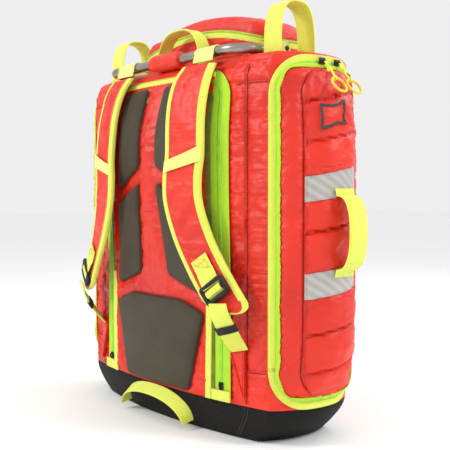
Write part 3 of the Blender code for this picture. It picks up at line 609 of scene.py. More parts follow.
def grid_faces(rows, columns, wrap):
    faces = []
    for r in range(rows - 1):
        for c in range(columns if wrap else columns - 1):
            d = (c + 1) % columns
            low, high = r * columns, (r + 1) * columns
            faces.append((low + c, low + d, high + d, high + c))
    return faces


class Cloth:
    """A grid of points that swells where it isn't held. hold is 1 at a seam and 0 where the cloth is free."""

    def __init__(self, points, hold, centre, wrap=False, cap=0.005, pressure=4.0, grow=0.03):
        self.points, self.hold, self.wrap = np.array(points, float), np.array(hold, float), wrap
        self.cap, self.pressure, self.grow = cap, pressure, grow
        out = self.points - np.array(centre)
        self.flip = float((normals_of(self.points, wrap) * out).sum()) < 0

    def normals(self):
        found = normals_of(self.points, self.wrap)
        return -found if self.flip else found

    def start(self, name):
        rows, columns = self.points.shape[:2]
        mesh = bpy.data.meshes.new(name)
        faces = grid_faces(rows, columns, self.wrap)
        turn = np.cross(self.points[0, 1] - self.points[0, 0], self.points[1, 0] - self.points[0, 0])
        if Vector(turn).dot(Vector(self.normals()[0, 0])) < 0:
            faces = [face[::-1] for face in faces]
        mesh.from_pydata([tuple(p) for p in self.points.reshape(-1, 3)], [], faces)
        self.thing = added(name, mesh)
        group = self.thing.vertex_groups.new(name="held")
        for i, weight in enumerate(self.hold.reshape(-1)):
            group.add([i], float(weight), "REPLACE")
        step = self.thing.modifiers.new("cloth", "CLOTH")
        settings = step.settings
        settings.quality, settings.mass = 4, 0.25
        settings.tension_stiffness = settings.compression_stiffness = 12
        settings.shear_stiffness, settings.bending_stiffness = 4, 0.06
        settings.vertex_group_mass = "held"
        settings.use_pressure, settings.uniform_pressure_force = True, self.pressure
        settings.shrink_min = -self.grow
        settings.effector_weights.gravity = 0
        step.collision_settings.use_collision = False
        step.point_cache.frame_start, step.point_cache.frame_end = 1, 20

    def finish(self):
        """Takes the swollen points over, none of them further than the cap."""
        mesh = self.thing.evaluated_get(bpy.context.evaluated_depsgraph_get()).data
        found = np.empty(len(mesh.vertices) * 3)
        mesh.vertices.foreach_get("co", found)
        moved = found.reshape(self.points.shape) - self.points
        size = np.linalg.norm(moved, axis=2, keepdims=True)
        self.points = self.points + moved * (self.cap * np.tanh(size / self.cap) / np.maximum(size, 1e-9))
        bpy.data.objects.remove(self.thing)


def settle(cloths):
    """Lets all the cloths swell together."""
    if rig.quick():
        return
    for number, cloth in enumerate(cloths):
        cloth.start(f"cloth_{number}")
    for number in range(1, SETTLE_FRAMES + 1):
        bpy.context.scene.frame_set(number)
    for cloth in cloths:
        cloth.finish()
    bpy.context.scene.frame_set(1)


def crinkle(cloth, depth, seed, stretch):
    """Small creases along the grid's normals, where the cloth isn't held."""
    normals = cloth.normals()
    a, b, c = stretch
    for spot in zip(*np.nonzero(cloth.hold < 1)):
        x, y, z = cloth.points[spot]
        first = noise.noise(Vector((x * a, y * b, z * c + seed)))
        second = noise.noise(Vector((x * a * 2.1 + 9, y * b * 2.1, z * c * 2.3 - seed)))
        push = depth * (1 - 2.2 * abs(first) + 0.5 * second)
        cloth.points[spot] += normals[spot] * (1 - cloth.hold[spot]) * push


class Sampled:
    """A settled grid as a surface of (row share, column share)."""

    def __init__(self, cloth):
        self.points, self.normals = cloth.points, cloth.normals()

    def __call__(self, row, column, lift):
        rows, columns = self.points.shape[:2]
        r = min(max(row, 0.0), 1.0) * (rows - 1)
        c = min(max(column, 0.0), 1.0) * (columns - 1)
        i, j = min(int(r), rows - 2), min(int(c), columns - 2)
        f, g = r - i, c - j
        found = []
        for grid in (self.points, self.normals):
            low = grid[i, j] * (1 - g) + grid[i, j + 1] * g
            high = grid[i + 1, j] * (1 - g) + grid[i + 1, j + 1] * g
            found.append(Vector(low * (1 - f) + high * f))
        return found[0] + found[1].normalized() * lift


# ---- building pieces

THREAD_WIDTH, THREAD_HEIGHT, THREAD_SHARE = 0.0010, 0.0006, 0.34


def flat(width, thick):
    """A flat section with rounded edges, as (across, out) pairs."""
    w, t = width / 2, thick / 2
    edge = min(t, w * 0.5)
    corner = [(w - edge * 1.6, t), (w - edge * 0.4, t * 0.8)]
    upper = [(-x, y) for x, y in corner[::-1]] + [(0, t)] + corner
    return [(-w, 0)] + upper + [(w, 0)] + [(x, -y) for x, y in upper[::-1]]


def tube_faces(rows, columns, closed):
    """The faces of a swept ring, with its ends joined or capped."""
    faces = grid_faces(rows, columns, True)
    last = (rows - 1) * columns
    if closed:
        return faces + [(last + k, last + (k + 1) % columns, (k + 1) % columns, k) for k in range(columns)]
    return faces + [tuple(range(columns))[::-1], tuple(range(last, last + columns))]


def frames_on(surface, line, lift, closed=False):
    """Points over a surface along a line, with the sideways and outward directions there."""
    path = [surface(u, v, lift) for u, v in line]
    wides, outs = [], []
    for i, (u, v) in enumerate(line):
        along = direction(path, i, closed)
        out = (surface(u, v, lift + 0.001) - path[i]).normalized()
        wides.append(out.cross(along).normalized())
        outs.append(along.cross(wides[-1]).normalized())
    return path, wides, outs


class Piece:
    """Gathers shapes into one mesh."""

    def __init__(self):
        self.points, self.faces, self.uvs, self.marks = [], [], [], []

    def put(self, points, faces, paint, uvs=None):
        base = len(self.points)
        self.points += [tuple(p) for p in points]
        self.uvs += [(0.0, 0.0)] * len(points) if uvs is None else uvs
        self.faces += [tuple(base + i for i in face) for face in faces]
        self.marks += [paint] * len(faces)
        return self

    def rings(self, rings, paint, caps=()):
        """Rings of points joined into a skin. caps says whether its first and its last ring are closed."""
        ends = tube_faces(len(rings), len(rings[0]), False)[-2:]
        faces = grid_faces(len(rings), len(rings[0]), True) + [end for end, cap in zip(ends, caps) if cap]
        return self.put([p for ring in rings for p in ring], faces, paint)

    def sweep(self, path, wides, outs, section, paint, closed=False, widths=None, heights=None):
        """A section of (across, out) pairs carried along a path."""
        points, uvs, far = [], [], 0.0
        for i, here in enumerate(path):
            far += (here - path[i - 1]).length if i else 0
            width, height = widths[i] if widths else 1.0, heights[i] if heights else 1.0
            points += [here + wides[i] * across * width + outs[i] * out * height for across, out in section]
            uvs += [(far, across) for across, _ in section]
        return self.put(points, tube_faces(len(path), len(section), closed), paint, uvs)

    def on(self, surface, line, section, paint, lift=0.0, closed=False):
        """A section carried along a line of (u, v) on a surface."""
        return self.sweep(*frames_on(surface, line, lift, closed), section, paint, closed)

    def ribbon(self, path, wide, width, thick, paint, widths=None):
        """Webbing along a path. wide is its width's direction, or one for each point."""
        path = [Vector(p) for p in path]
        wides, outs = [], []
        for i in range(len(path)):
            along = direction(path, i)
            side = Vector(wide[i] if isinstance(wide, list) else wide)
            wides.append((side - along * side.dot(along)).normalized())
            outs.append(along.cross(wides[-1]).normalized())
        return self.sweep(path, wides, outs, flat(width, thick), paint, widths=widths)

    def tube(self, path, radius, paint, sides=10, closed=False, radii=None):
        """A round section; radii scale it at each point."""
        path = [Vector(p) for p in path]
        wides, outs = [], []
        for i in range(len(path)):
            along = direction(path, i, closed)
            wide = wides[-1] - along * wides[-1].dot(along) if wides else along.orthogonal()
            wides.append(wide.normalized())
            outs.append(along.cross(wides[-1]))
        section = [(radius * math.cos(t), radius * math.sin(t)) for t in round_turns(sides)]
        return self.sweep(path, wides, outs, section, paint, closed, radii, radii)

    def dashes(self, path, wides, outs, paint, pitch):
        """A stitch at each point of a path."""
        for here, wide, out in zip(path, wides, outs):
            along = wide.cross(out).normalized() * pitch * THREAD_SHARE
            side, up = wide * THREAD_WIDTH / 2, out * THREAD_HEIGHT
            points = [here - along, here + side, here + along, here - side, here + up, here - up * 0.4]
            faces = [(0, 1, 4), (1, 2, 4), (2, 3, 4), (3, 0, 4), (1, 0, 5), (2, 1, 5), (3, 2, 5), (0, 3, 5)]
            self.put(points, faces, paint)
        return self

    def stitches(self, surface, line, paint, pitch=0.0034, lift=0.0, closed=False):
        """Thread along a line whose parameters are distances."""
        return self.dashes(*frames_on(surface, evenly(line, pitch, closed), lift, closed), paint, pitch)

    def sewn(self, surface, line, paint, lift, pitch=0.0036):
        """Thread along a line whose parameters aren't distances."""
        full = []
        for a, b in zip(line, line[1:]):
            count = max(1, round((surface(*b, 0) - surface(*a, 0)).length / pitch))
            full += [(a[0] + (b[0] - a[0]) * t, a[1] + (b[1] - a[1]) * t) for t in spread(0, 1, count)]
        if len(full) > 2:
            self.dashes(*frames_on(surface, full, lift), paint, pitch)

    def coil(self, surface, line, lift, closed=False, half=0.0034):
        """A zip's chain: a low ridge with teeth."""
        tall, spacing = 0.0021, 0.00065
        section = ((-half, 0), (-half * 0.8, tall * 0.7), (0, tall), (half * 0.8, tall * 0.7), (half, 0))
        path, wides, outs = frames_on(surface, evenly(line, spacing, closed), lift, closed)
        teeth = [(0.62, 0.9, 1.0, 0.9)[i % 4] for i in range(len(path))]
        widths = [0.82 + 0.18 * tooth for tooth in teeth]
        return self.sweep(path, wides, outs, section, "coil", closed, widths, teeth)

    def cloth(self, cloth, paint, back=None, keep=None, cap=False):
        """A settled grid.

        back is how far behind it the lining lies, keep picks faces, and cap closes the last row.
        """
        rows, columns = cloth.points.shape[:2]
        front = cloth.points.reshape(-1, 3)
        faces = grid_faces(rows, columns, cloth.wrap)
        if keep is not None:
            faces = [face for face in faces if keep(Vector(sum(front[list(face)]) / 4))]
        if cap:
            faces.append(tuple(range((rows - 1) * columns, rows * columns)))
        if back is None:
            return self.put(front, faces, paint)
        base = rows * columns
        loop = list(range(columns)) + [r * columns + columns - 1 for r in range(1, rows)]
        loop += [(rows - 1) * columns + c for c in range(columns - 2, -1, -1)]
        loop += [r * columns for r in range(rows - 2, 0, -1)]
        edge = [(a, b, base + b, base + a) for a, b in zip(loop, loop[1:] + loop[:1])]
        rear = [tuple(base + i for i in face[::-1]) for face in faces]
        inner = front - cloth.normals().reshape(-1, 3) * back
        return self.put(np.concatenate([front, inner]), faces + rear + edge, paint)

    def make(self, name, body, slot, replaces=(), sharp=50):
        mesh = bpy.data.meshes.new(name)
        mesh.from_pydata(self.points, [], self.faces)
        used = list(dict.fromkeys(self.marks))
        for paint in used:
            mesh.materials.append(PAINTS[paint])
        mesh.polygons.foreach_set("material_index", [used.index(mark) for mark in self.marks])
        layer = mesh.uv_layers.new(name="UVMap")
        corners = np.empty(len(mesh.loops), dtype=np.int32)
        mesh.loops.foreach_get("vertex_index", corners)
        layer.data.foreach_set("uv", np.array(self.uvs, dtype=np.float32)[corners].reshape(-1))
        shape = bmesh.new()
        shape.from_mesh(mesh)
        loose = [vertex for vertex in shape.verts if not vertex.link_faces]
        bmesh.ops.delete(shape, geom=loose, context="VERTS")
        bmesh.ops.recalc_face_normals(shape, faces=shape.faces)
        shape.to_mesh(mesh)
        shape.free()
        mesh.shade_smooth()
        mesh.set_sharp_from_angle(angle=math.radians(sharp))
        thing = added(name, mesh)
        if body:
            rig.ride(thing, body)
        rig.slot(thing, slot)
        if replaces:
            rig.replaces(thing, *replaces)
        return thing


# ---- the shell's fabric

SHELL_LOW, SHELL_SHOULDER, DECK_ROWS = 0.0553, 0.566, 8
CROSS_SEAMS = (0.532, 0.108)   # level seams between the harness zip and the side pockets


def rectangle(half, low, high, across, up):
    """A rectangle's outline as (u, z) points."""
    line = [(u, low) for u in spread(-half, half, across)] + [(half, z) for z in spread(low, high, up)]
    line += [(u, high) for u in spread(half, -half, across)]
    return line + [(-half, z) for z in spread(high, low, up)]


def body_columns():
    """The columns round the body, anticlockwise from the left harness seam."""
    harness = spread(-SEAM_X, -0.170, 9) + spread(-0.170, 0.170, 14) + spread(0.170, SEAM_X, 9)
    side = spread(-EDGE_Y, -RECESS_HALF, 5) + spread(-RECESS_HALF, RECESS_HALF, 12)
    side += spread(RECESS_HALF, EDGE_Y, 5)
    outer = spread(SEAM_X, MOUTH_HALF, 10) + spread(MOUTH_HALF, -MOUTH_HALF, 14)
    outer += spread(-MOUTH_HALF, -SEAM_X, 10)
    steps = spread(0.0, 1.0, 12)
    columns = [("harness", x, 0) for x in harness]
    columns += [("near", s, 1) for s in steps] + [("arc", y, 1) for y in side]
    columns += [("far", 1 - s, 1) for s in steps]
    columns += [("front", x, 0) for x in outer]
    columns += [("far", s, -1) for s in steps] + [("arc", -y, -1) for y in side]
    return columns + [("near", 1 - s, -1) for s in steps]


def body_place(column, z):
    kind, value, side = column
    lean = harness_y(EDGE_X, z) + EDGE_Y
    if kind == "harness":
        return value, harness_y(value, z)
    if kind == "front":
        return value, front_y(value)
    if kind == "arc":
        return side * side_x(value), value + lean * (0.5 - value / EDGE_Y / 2)
    x = side * (SEAM_X + (EDGE_X - SEAM_X) * value)
    if kind == "near":
        return x, harness_y(SEAM_X, z) * (1 - value) + (lean - EDGE_Y) * value
    return x, HALF_DEPTH * (1 - value) + EDGE_Y * value


def foot_scale(z):
    """How far the boot draws the body in at a height, across and in depth."""
    taper = (1 - smooth(z, -0.03, BOOT_TOP)) / (1 - smooth(0, -0.03, BOOT_TOP))
    return 1 - taper * (1 - FOOT_WIDTH_SHARE), 1 - taper * (1 - FOOT_DEPTH_SHARE)


def body_line(columns, z, inset=0.0):
    """The body's outline at a height, moved inwards by an inset."""
    ring = np.array([body_place(column, z) for column in columns]) * foot_scale(z)
    along = np.roll(ring, -1, 0) - np.roll(ring, 1, 0)
    along /= np.linalg.norm(along, axis=1, keepdims=True)
    ring = ring + np.stack([-along[:, 1], along[:, 0]], 1) * inset
    return np.column_stack([ring, np.full(len(ring), z)])


def column_freedom(kind, value):
    """How free the cloth is at a column: only beside the corner seams."""
    if kind in ("near", "far"):
        return 1 - abs(2 * value - 1) ** 5
    if kind == "arc":
        return 0
    start, end = (0.174, 0.182) if kind == "harness" else (0.190, 0.194)
    return smooth(abs(value), start, end) * (1 - smooth(abs(value), 0.198, SEAM_X))


def shell_cloth(columns):
    levels = spread(SHELL_LOW, RECESS_LOW, 8) + [RECESS_LOW] + spread(MOUTH_LOW, MOUTH_HIGH, 96)
    levels += spread(MOUTH_HIGH, RECESS_HIGH, 4) + spread(RECESS_HIGH, SHELL_SHOULDER, 6)
    rings = [body_line(columns, SHELL_LOW, 0.0012)] + [body_line(columns, z) for z in levels]
    shoulder = ((0.5700, 0.0012), (0.5745, 0.0042), (0.5772, 0.0085))
    rings += [body_line(columns, z, inset) for z, inset in shoulder]
    deck = body_line(columns, BODY_TOP, 0.0130)
    rings += [deck * (share, share, 1) for share in (1.0, 0.85, 0.65, 0.4, 0.15, 0.01)]
    hold = np.ones((len(rings), len(columns)))
    for c, (kind, value, _) in enumerate(columns):
        for r, ring in enumerate(rings[:-DECK_ROWS]):
            ends = smooth(ring[c][2], 0.058, 0.070) * (1 - smooth(ring[c][2], 0.556, 0.568))
            hold[r, c] = 1 - column_freedom(kind, value) * ends
    return Cloth(rings, hold, (0, 0, 0.3), wrap=True, cap=0.0050, pressure=1.2, grow=0.05)


def press_seams(cloth, columns):
    """Draws the corner seams in."""
    normals = cloth.normals()
    rows = slice(4, -DECK_ROWS)
    for c, (kind, value, _) in enumerate(columns):
        depth = 0.0
        if kind in ("near", "far"):
            depth = 0.0016 * away(value, 1 / 8)
        elif kind != "arc":
            depth = 0.0016 * away(SEAM_X - abs(value), 0.005)
        cloth.points[rows, c] -= normals[rows, c] * depth


def on_seam(column):
    """Whether a column runs on a corner seam."""
    kind, value, _ = column
    if kind == "near":
        return value == 0.0
    return kind in ("harness", "front") and abs(abs(value) - SEAM_X) < 1e-6


def in_opening(p):
    in_recess = abs(p.x) > RECESS_X and abs(p.y) < RECESS_HALF - 0.0005 and RECESS_LOW < p.z < RECESS_HIGH
    in_mouth = p.y > 0.05 and abs(p.x) < MOUTH_HALF - 0.0005 and MOUTH_LOW < p.z < MOUTH_HIGH
    return in_recess or in_mouth


def shell(cloth, columns):
    piece = Piece().cloth(cloth, "red", keep=lambda p: not in_opening(p), cap=True)
    # The walls inside the side recesses and the front mouth are dark red painted shade.
    loop = rectangle(RECESS_HALF, RECESS_LOW, RECESS_HIGH, 12, 30)
    for side in BOTH:
        rings = [[(side * side_x(y), y, z) for y, z in loop], [(side * RECESS_X, y, z) for y, z in loop]]
        piece.rings(rings, "red_dark", (False, True))
    loop = rectangle(MOUTH_HALF, MOUTH_LOW, MOUTH_HIGH, 14, 30)
    wide = [(x * 0.185 / MOUTH_HALF, 0.030 + (z - MOUTH_LOW) * 0.534 / 0.430) for x, z in loop]
    rings = [[(x, front_y(x), z) for x, z in loop], [(x, 0.080, z) for x, z in loop]]
    rings += [[(x, y, z) for x, z in wide] for y in (0.0798, -0.0735)]
    piece.rings(rings, "red_dark", (False, True))
    surface = Sampled(cloth)
    last = len(cloth.points) - 1
    heights = cloth.points[:, 0, 2]
    rows = [r / last for r in range(2, int(np.searchsorted(heights, 0.568)))]
    for column in [c for c, kind in enumerate(columns) if on_seam(kind)]:
        lines = [[(r, (column + shift) / (len(columns) - 1)) for r in rows] for shift in (0.0, 0.9, -0.9)]
        # A dark red cord of painted shade lies in the groove of each corner seam.
        piece.on(surface, lines[0], flat(0.0011, 0.0014), "red_dark", 0.0006)
        for line in lines[1:]:
            piece.sewn(surface, line, "red_thread", 0.0004)
    for level in CROSS_SEAMS:
        row = float(np.interp(level, heights[:-DECK_ROWS], range(len(heights) - DECK_ROWS))) / last
        for side in BOTH:
            flap = [c for c, (kind, _, way) in enumerate(columns) if kind == "near" and way == side]
            strip = [c for c, (kind, x, _) in enumerate(columns) if kind == "harness" and x * side > 0.178]
            for group in (flap, strip):
                line = [(row, c / (len(columns) - 1)) for c in group]
                # A dark red cord of painted shade lies in the groove of each level seam.
                piece.on(surface, line, flat(0.0010, 0.0014), "red_dark", 0.0004)
                piece.sewn(surface, [(r + 0.0085, c) for r, c in line], "red_thread", 0.0005)
    piece.make("shell_fabric", "root", "red_fabric", ["main_shell"])


def boot(columns):
    levels = [(0.0, 0.0045), (0.0006, 0.0022), (0.003, 0.0)] + [(z, 0.0) for z in spread(0.006, 0.0535, 18)]
    levels += [(0.0545, 0.0003), (BOOT_TOP, 0.0012), (0.0545, 0.003), (0.03, 0.003), (0.003, 0.003)]
    points = np.array([body_line(columns, z, inset) for z, inset in levels])
    for ring in points[3:-5]:
        for point in ring:
            x, y, z = point
            lump = noise.noise(Vector((x * 30, y * 30, z * 45)))
            lump += 0.5 * noise.noise(Vector((x * 75, y * 75, z * 90)))
            point[:2] *= 1 + 0.0035 * lump
    piece = Piece().rings(points, "boot", (True, True))
    for side in BOTH:
        for way in BOTH:
            for shift in (-0.0035, 0.0035):
                path = []
                for z in through(0.006, 0.052, 12):
                    across, deep = foot_scale(z)
                    x, y = side * (SEAM_X + shift) * across, way * (HALF_DEPTH + 0.0006) * deep
                    path.append(Vector((x, y, z)))
                piece.dashes(path, [X] * len(path), [Y * way] * len(path), "dark_thread", 0.0038)
    piece.make("boot_fabric", "root", "black_boot", ["boot"])


# ---- harness side

UPPER_PAD = ((0.024, 0.416), (0.090, 0.380), (0.090, 0.538), (0.025, 0.542))
MID_PAD = ((0.040, 0.242), (0.116, 0.216), (0.098, 0.354), (0.025, 0.389))
LUMBAR_PAD = ((0.088, 0.062), (0.122, 0.186), (0.070, 0.203),
              (-0.070, 0.203), (-0.122, 0.186), (-0.088, 0.062))
PADS = {f"{name}_{word}": [(side * x, z) for x, z in corners]
        for name, corners in (("upper_pad", UPPER_PAD), ("mid_pad", MID_PAD)) for word, side in SIDES.items()}
PADS["lumbar_pad"] = LUMBAR_PAD
PANEL_LOW, PANEL_LIFT, PAD_LIFT, PAD_THICK = 0.058, 0.0042, 0.0050, 0.009
ZIP_LOW, ZIP_HALF, SLIDER_Z = 0.0585, 0.1575, 0.0800


def reach(outline, points):
    """How far each (u, v) point is outside an outline; negative inside."""
    outline = np.array([tuple(p) for p in outline])
    best = np.full(len(points), 1e9)
    inside = np.zeros(len(points), bool)
    for a, b in zip(outline, np.roll(outline, -1, 0)):
        edge = b - a
        t = np.clip(((points - a) @ edge) / (edge @ edge), 0, 1)
        best = np.minimum(best, np.linalg.norm(points - a - t[:, None] * edge, axis=1))
        crosses = (a[1] > points[:, 1]) != (b[1] > points[:, 1])
        with np.errstate(divide="ignore", invalid="ignore"):
            inside ^= crosses & (points[:, 0] < (b[0] - a[0]) * (points[:, 1] - a[1]) / (b[1] - a[1]) + a[0])
    return np.where(inside, -best, best)


def panel_cloth():
    xs, zs = np.linspace(-PANEL_HALF, PANEL_HALF, 69), np.linspace(PANEL_LOW, PANEL_HIGH, 121)
    spots = np.array([(x, z) for z in zs for x in xs])
    gap = np.full(len(spots), 1e9)
    for corners in PADS.values():
        gap = np.minimum(gap, reach(rounded(corners, 0.012, 0.02), spots))
    ends = np.minimum(spots[:, 1] - PANEL_LOW, PANEL_HIGH - spots[:, 1])
    edge = np.minimum(PANEL_HALF - np.abs(spots[:, 0]), ends)
    free = np.clip((gap - 0.001) / 0.006, 0, 1) * np.clip((edge - 0.003) / 0.008, 0, 1)
    swell = 0.0055 * np.sin(np.clip(np.minimum(gap, edge) / 0.024, 0, 1) * math.pi / 2)
    points = [tuple(harness_point(u, v, PANEL_LIFT + s)) for (u, v), s in zip(spots, swell)]
    shape = (len(zs), len(xs))
    hold = (1 - free).reshape(shape)
    return Cloth(np.array(points).reshape(*shape, 3), hold, (0, 0, 0.3), cap=0.0035, pressure=1.0, grow=0.05)


def panel(cloth):
    piece = Piece().cloth(cloth, "red_soft", back=0.0030)
    for corners in PADS.values():
        outline = rounded(corners, 0.012, 0.004)
        middle = centre_of(outline)
        outside, beside = ([p + (p - middle).normalized() * gap for p in outline] for gap in (0.0032, 0.0012))
        piece.stitches(harness_point, outside, "red_thread", lift=PANEL_LIFT + 0.0030, closed=True)
        # A dark red line of painted shade lies in the crease round each pad.
        piece.on(harness_point, beside, flat(0.0018, 0.0018), "red_dark", PANEL_LIFT + 0.0014, closed=True)
    top = [(x, PANEL_HIGH - 0.0006 + 0.0008 * math.cos(x * 20)) for x in spread(-PANEL_HALF, PANEL_HALF, 30)]
    top.append((PANEL_HALF, PANEL_HIGH))
    piece.on(harness_point, top, flat(0.0085, 0.0042), "webbing", PANEL_LIFT + 0.0006)
    piece.make("panel_fabric", "root", "red_fabric", ["back_panel"])


PAD_EDGE = ((-0.0006, 0.0), (0.0, 0.40), (0.0010, 0.56), (0.0030, 0.68), (0.0065, 0.82), (0.0105, 0.94),
            (0.0150, 1.0))


def pad(name, corners):
    """A foam pad with a round edge and a slightly domed face."""
    outline = evenly(rounded(corners, 0.008, 0.004), 0.0040, closed=True)
    middle = centre_of(outline)
    drawn_in = [[p + (middle - p).normalized() * inset for p in outline] for inset, _ in PAD_EDGE]
    shares = (0.86, 0.72, 0.58, 0.44, 0.30, 0.16, 0.04)
    lines = drawn_in + [[middle.lerp(p, share) for p in drawn_in[-1]] for share in shares]
    heights = [height for _, height in PAD_EDGE] + [1 + 0.24 * (1 - share * share) for share in shares]
    rings = [[harness_point(*p, PAD_LIFT + PAD_THICK * h) for p in line] for line, h in zip(lines, heights)]
    piece = Piece().rings(rings, "grey", (True, True))
    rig.padded(piece.make(f"{name}_foam", "root", "grey_pad", [name], sharp=75), fill=0.8)


def u_line(half, low, high, corner):
    """An upside-down U as (x, z) points."""
    inner, shoulder = half - corner, high - corner
    points = [(half, z) for z in spread(low, shoulder, 40)]
    for turn in through(0, math.pi / 2, 8):
        points.append((inner + corner * math.cos(turn), shoulder + corner * math.sin(turn)))
    points += [(x, high) for x in spread(inner, -inner, 20)[1:]]
    return points + [(-x, z) for x, z in points[48::-1]]


def harness_zip():
    piece = Piece()
    # The last row is a dark olive strip of painted shade between the panel's edge and the tape.
    for half, high, corner, section, paint, lift in (
            (0.1665, 0.5495, 0.036, (0.0180, 0.0018), "tape", 0.0030),
            (0.1490, 0.5330, 0.020, (0.0150, 0.0018), "tape", 0.0032),
            (0.1385, 0.5235, 0.012, (0.0110, 0.0014), "olive", 0.0058)):
        piece.on(harness_point, u_line(half, ZIP_LOW, high, corner), flat(*section), paint, lift)
    piece.coil(harness_point, u_line(ZIP_HALF, ZIP_LOW, 0.5410, 0.028), 0.0036)
    for half, high, corner in ((0.1740, 0.5570, 0.042), (0.1612, 0.5445, 0.031), (0.1538, 0.5372, 0.025)):
        line = u_line(half, ZIP_LOW + 0.003, high, corner)
        piece.stitches(harness_point, line, "pale_thread", lift=0.0040, pitch=0.0040)
    for side in BOTH:
        edge = ((0.1330, 0.058), (0.1335, 0.10), (0.1345, 0.15), (0.1350, 0.20), (0.1352, 0.235))
        edge = evenly([(side * x, z) for x, z in edge], 0.008)
        piece.on(harness_point, edge, flat(0.0125, 0.0030), "webbing", 0.0078)
        tab = [(side * x, 0.0655) for x in through(0.1400, 0.1770, 6)]
        piece.on(harness_point, tab, flat(0.0165, 0.0022), "webbing", 0.0070)
        for z in (0.0600, 0.0712):
            line = [(side * 0.141, z), (side * 0.176, z)]
            piece.stitches(harness_point, line, "pale_thread", lift=0.0082, pitch=0.0036)
        zip_slider(piece, side * ZIP_HALF)
    piece.make("harness_zip_tape", "root", "zip_tape", ["harness_zip"])


def zip_slider(piece, x):
    """A small slider at the foot of the harness zip: a plate with a bridge."""
    lift = 0.0052
    line = [(x, SLIDER_Z + step) for step in through(-0.0058, 0.0058, 8)]
    widths = [0.62 + 0.38 * math.sin(math.pi * (0.15 + 0.7 * k / 8)) for k in range(9)]
    piece.sweep(*frames_on(harness_point, line, lift), flat(0.0098, 0.0024), "plastic", widths=widths)
    bridge = ((-0.0042, 0.001), (-0.0034, 0.0030), (0.0, 0.0040), (0.0034, 0.0030), (0.0042, 0.001))
    path = [harness_point(x, SLIDER_Z + step, lift + height) for step, height in bridge]
    piece.tube(path, 0.0012, "plastic", sides=8)


def wedges():
    for word, side in SIDES.items():
        corners = [(side * 0.2030, 0.066), (side * 0.2033, 0.150), (side * 0.1770, 0.134)]
        outline = evenly(rounded(corners, 0.003, 0.004), 0.004, closed=True)
        middle = centre_of(outline)
        profile = ((1.0, 0.0012), (1.0, 0.0040), (0.95, 0.0052), (0.6, 0.0062), (0.3, 0.0066), (0.02, 0.0066))
        rings = [[harness_point(*middle.lerp(p, share), lift) for p in outline] for share, lift in profile]
        piece = Piece().rings(rings, "red", (True, True))
        fold = evenly([(side * 0.1785, 0.132), (side * 0.2015, 0.070)], 0.005)
        piece.on(harness_point, fold, flat(0.0022, 0.0022), "red", 0.0062)
        for ends in (((0.1795, 0.1325), (0.2015, 0.1465)), ((0.2008, 0.145), (0.2008, 0.072))):
            piece.stitches(harness_point, [(side * x, z) for x, z in ends], "red_thread", lift=0.0062)
        piece.make(f"wedge_fabric_{word}", "root", "red_fabric", [f"wedge_tab_{word}"])


# ---- side pockets

FACE_SHARE = 0.60                                   # the part of a row that the quilted face takes
FACE_LOW, FACE_HIGH = POCKET_LOW + 0.006, POCKET_HIGH - 0.006
QUILTS = (0.5008, 0.4433, 0.3137, 0.1656, 0.1086)   # heights of the quilting at the near seam
STRIPES = {"upper": 0.376, "lower": 0.237}
STRIPE_SLOPE, STRIPE_HALF = 0.21, 0.0185
PATCH_Y, PATCH_Z, PATCH_HALF, PATCH_SLOPE = -0.0150, 0.482, 0.0180, 0.22


def slanted(level, y):
    """The height at y of a line that starts at a level on the near seam."""
    return level + STRIPE_SLOPE * (y + FACE_HALF)


def arc_half(v, half, low, high, corner):
    """Half the width of a rounded upright outline at a height."""
    short = max(0.0, corner - min(v - low, high - v))
    return half - corner + math.sqrt(max(0.0, corner ** 2 - short ** 2))


def face_half(z):
    return arc_half(min(max(z, FACE_LOW), FACE_HIGH), FACE_HALF, FACE_LOW, FACE_HIGH, FACE_HALF * 0.85)


def door_rows():
    ends = [0.0, 0.0022, 0.0050, 0.0085, 0.0125, 0.0165]
    middle = through(POCKET_LOW + 0.021, POCKET_HIGH - 0.021, 118)
    return [POCKET_LOW + end for end in ends] + middle + [POCKET_HIGH - end for end in ends[::-1]]


DOOR_ROWS = door_rows()
DOOR_COLUMNS = spread(-1.0, -FACE_SHARE, 9) + spread(-FACE_SHARE, FACE_SHARE, 28)
DOOR_COLUMNS += through(FACE_SHARE, 1.0, 9)


def door_place(side, wall, v, t):
    """A point on the door: the rim on the wall, the gusset, and the face."""
    half = face_half(v) * (1.0 if FACE_LOW <= v <= FACE_HIGH else 0.9)
    if abs(t) <= FACE_SHARE:
        y = half * t / FACE_SHARE
        return Vector((side * face_x(y, v), y, v))
    share = (abs(t) - FACE_SHARE) / (1 - FACE_SHARE)
    way = math.copysign(1, t)
    seam = Vector((side * face_x(way * half, v), way * half, v))
    rim = wall(way * arc_half(v, POCKET_ARC, POCKET_LOW, POCKET_HIGH, POCKET_CORNER), v, 0.0046)
    bow = Vector((side * 0.35, way, 0)).normalized() * 0.0045 * math.sin(math.pi * share)
    return seam.lerp(rim, share) + bow * min(1.0, (seam - rim).length / 0.02)


def door_cloth(side):
    wall = wall_point(side)
    points = [[tuple(door_place(side, wall, v, t)) for t in DOOR_COLUMNS] for v in DOOR_ROWS]
    hold = np.zeros((len(DOOR_ROWS), len(DOOR_COLUMNS)))
    for r, v in enumerate(DOOR_ROWS):
        ends = 1 - smooth(min(v - POCKET_LOW, POCKET_HIGH - v), 0.004, 0.016)
        for c, t in enumerate(DOOR_COLUMNS):
            y = points[r][c][1]
            held = [away(abs(t) - FACE_SHARE, 0.05), smooth(abs(t), 0.93, 1.0), ends]
            if abs(t) < FACE_SHARE:
                held += [away(v - slanted(level, y), 0.0050) for level in QUILTS]
                gaps = [abs(v - slanted(level, y)) for level in STRIPES.values()]
                held += [0.75 * (1 - smooth(gap, 0.019, 0.024)) for gap in gaps]
            hold[r, c] = max(held)
    return Cloth(points, hold, (side * 0.24, 0, 0.31), cap=0.0048, pressure=1.6, grow=0.055)


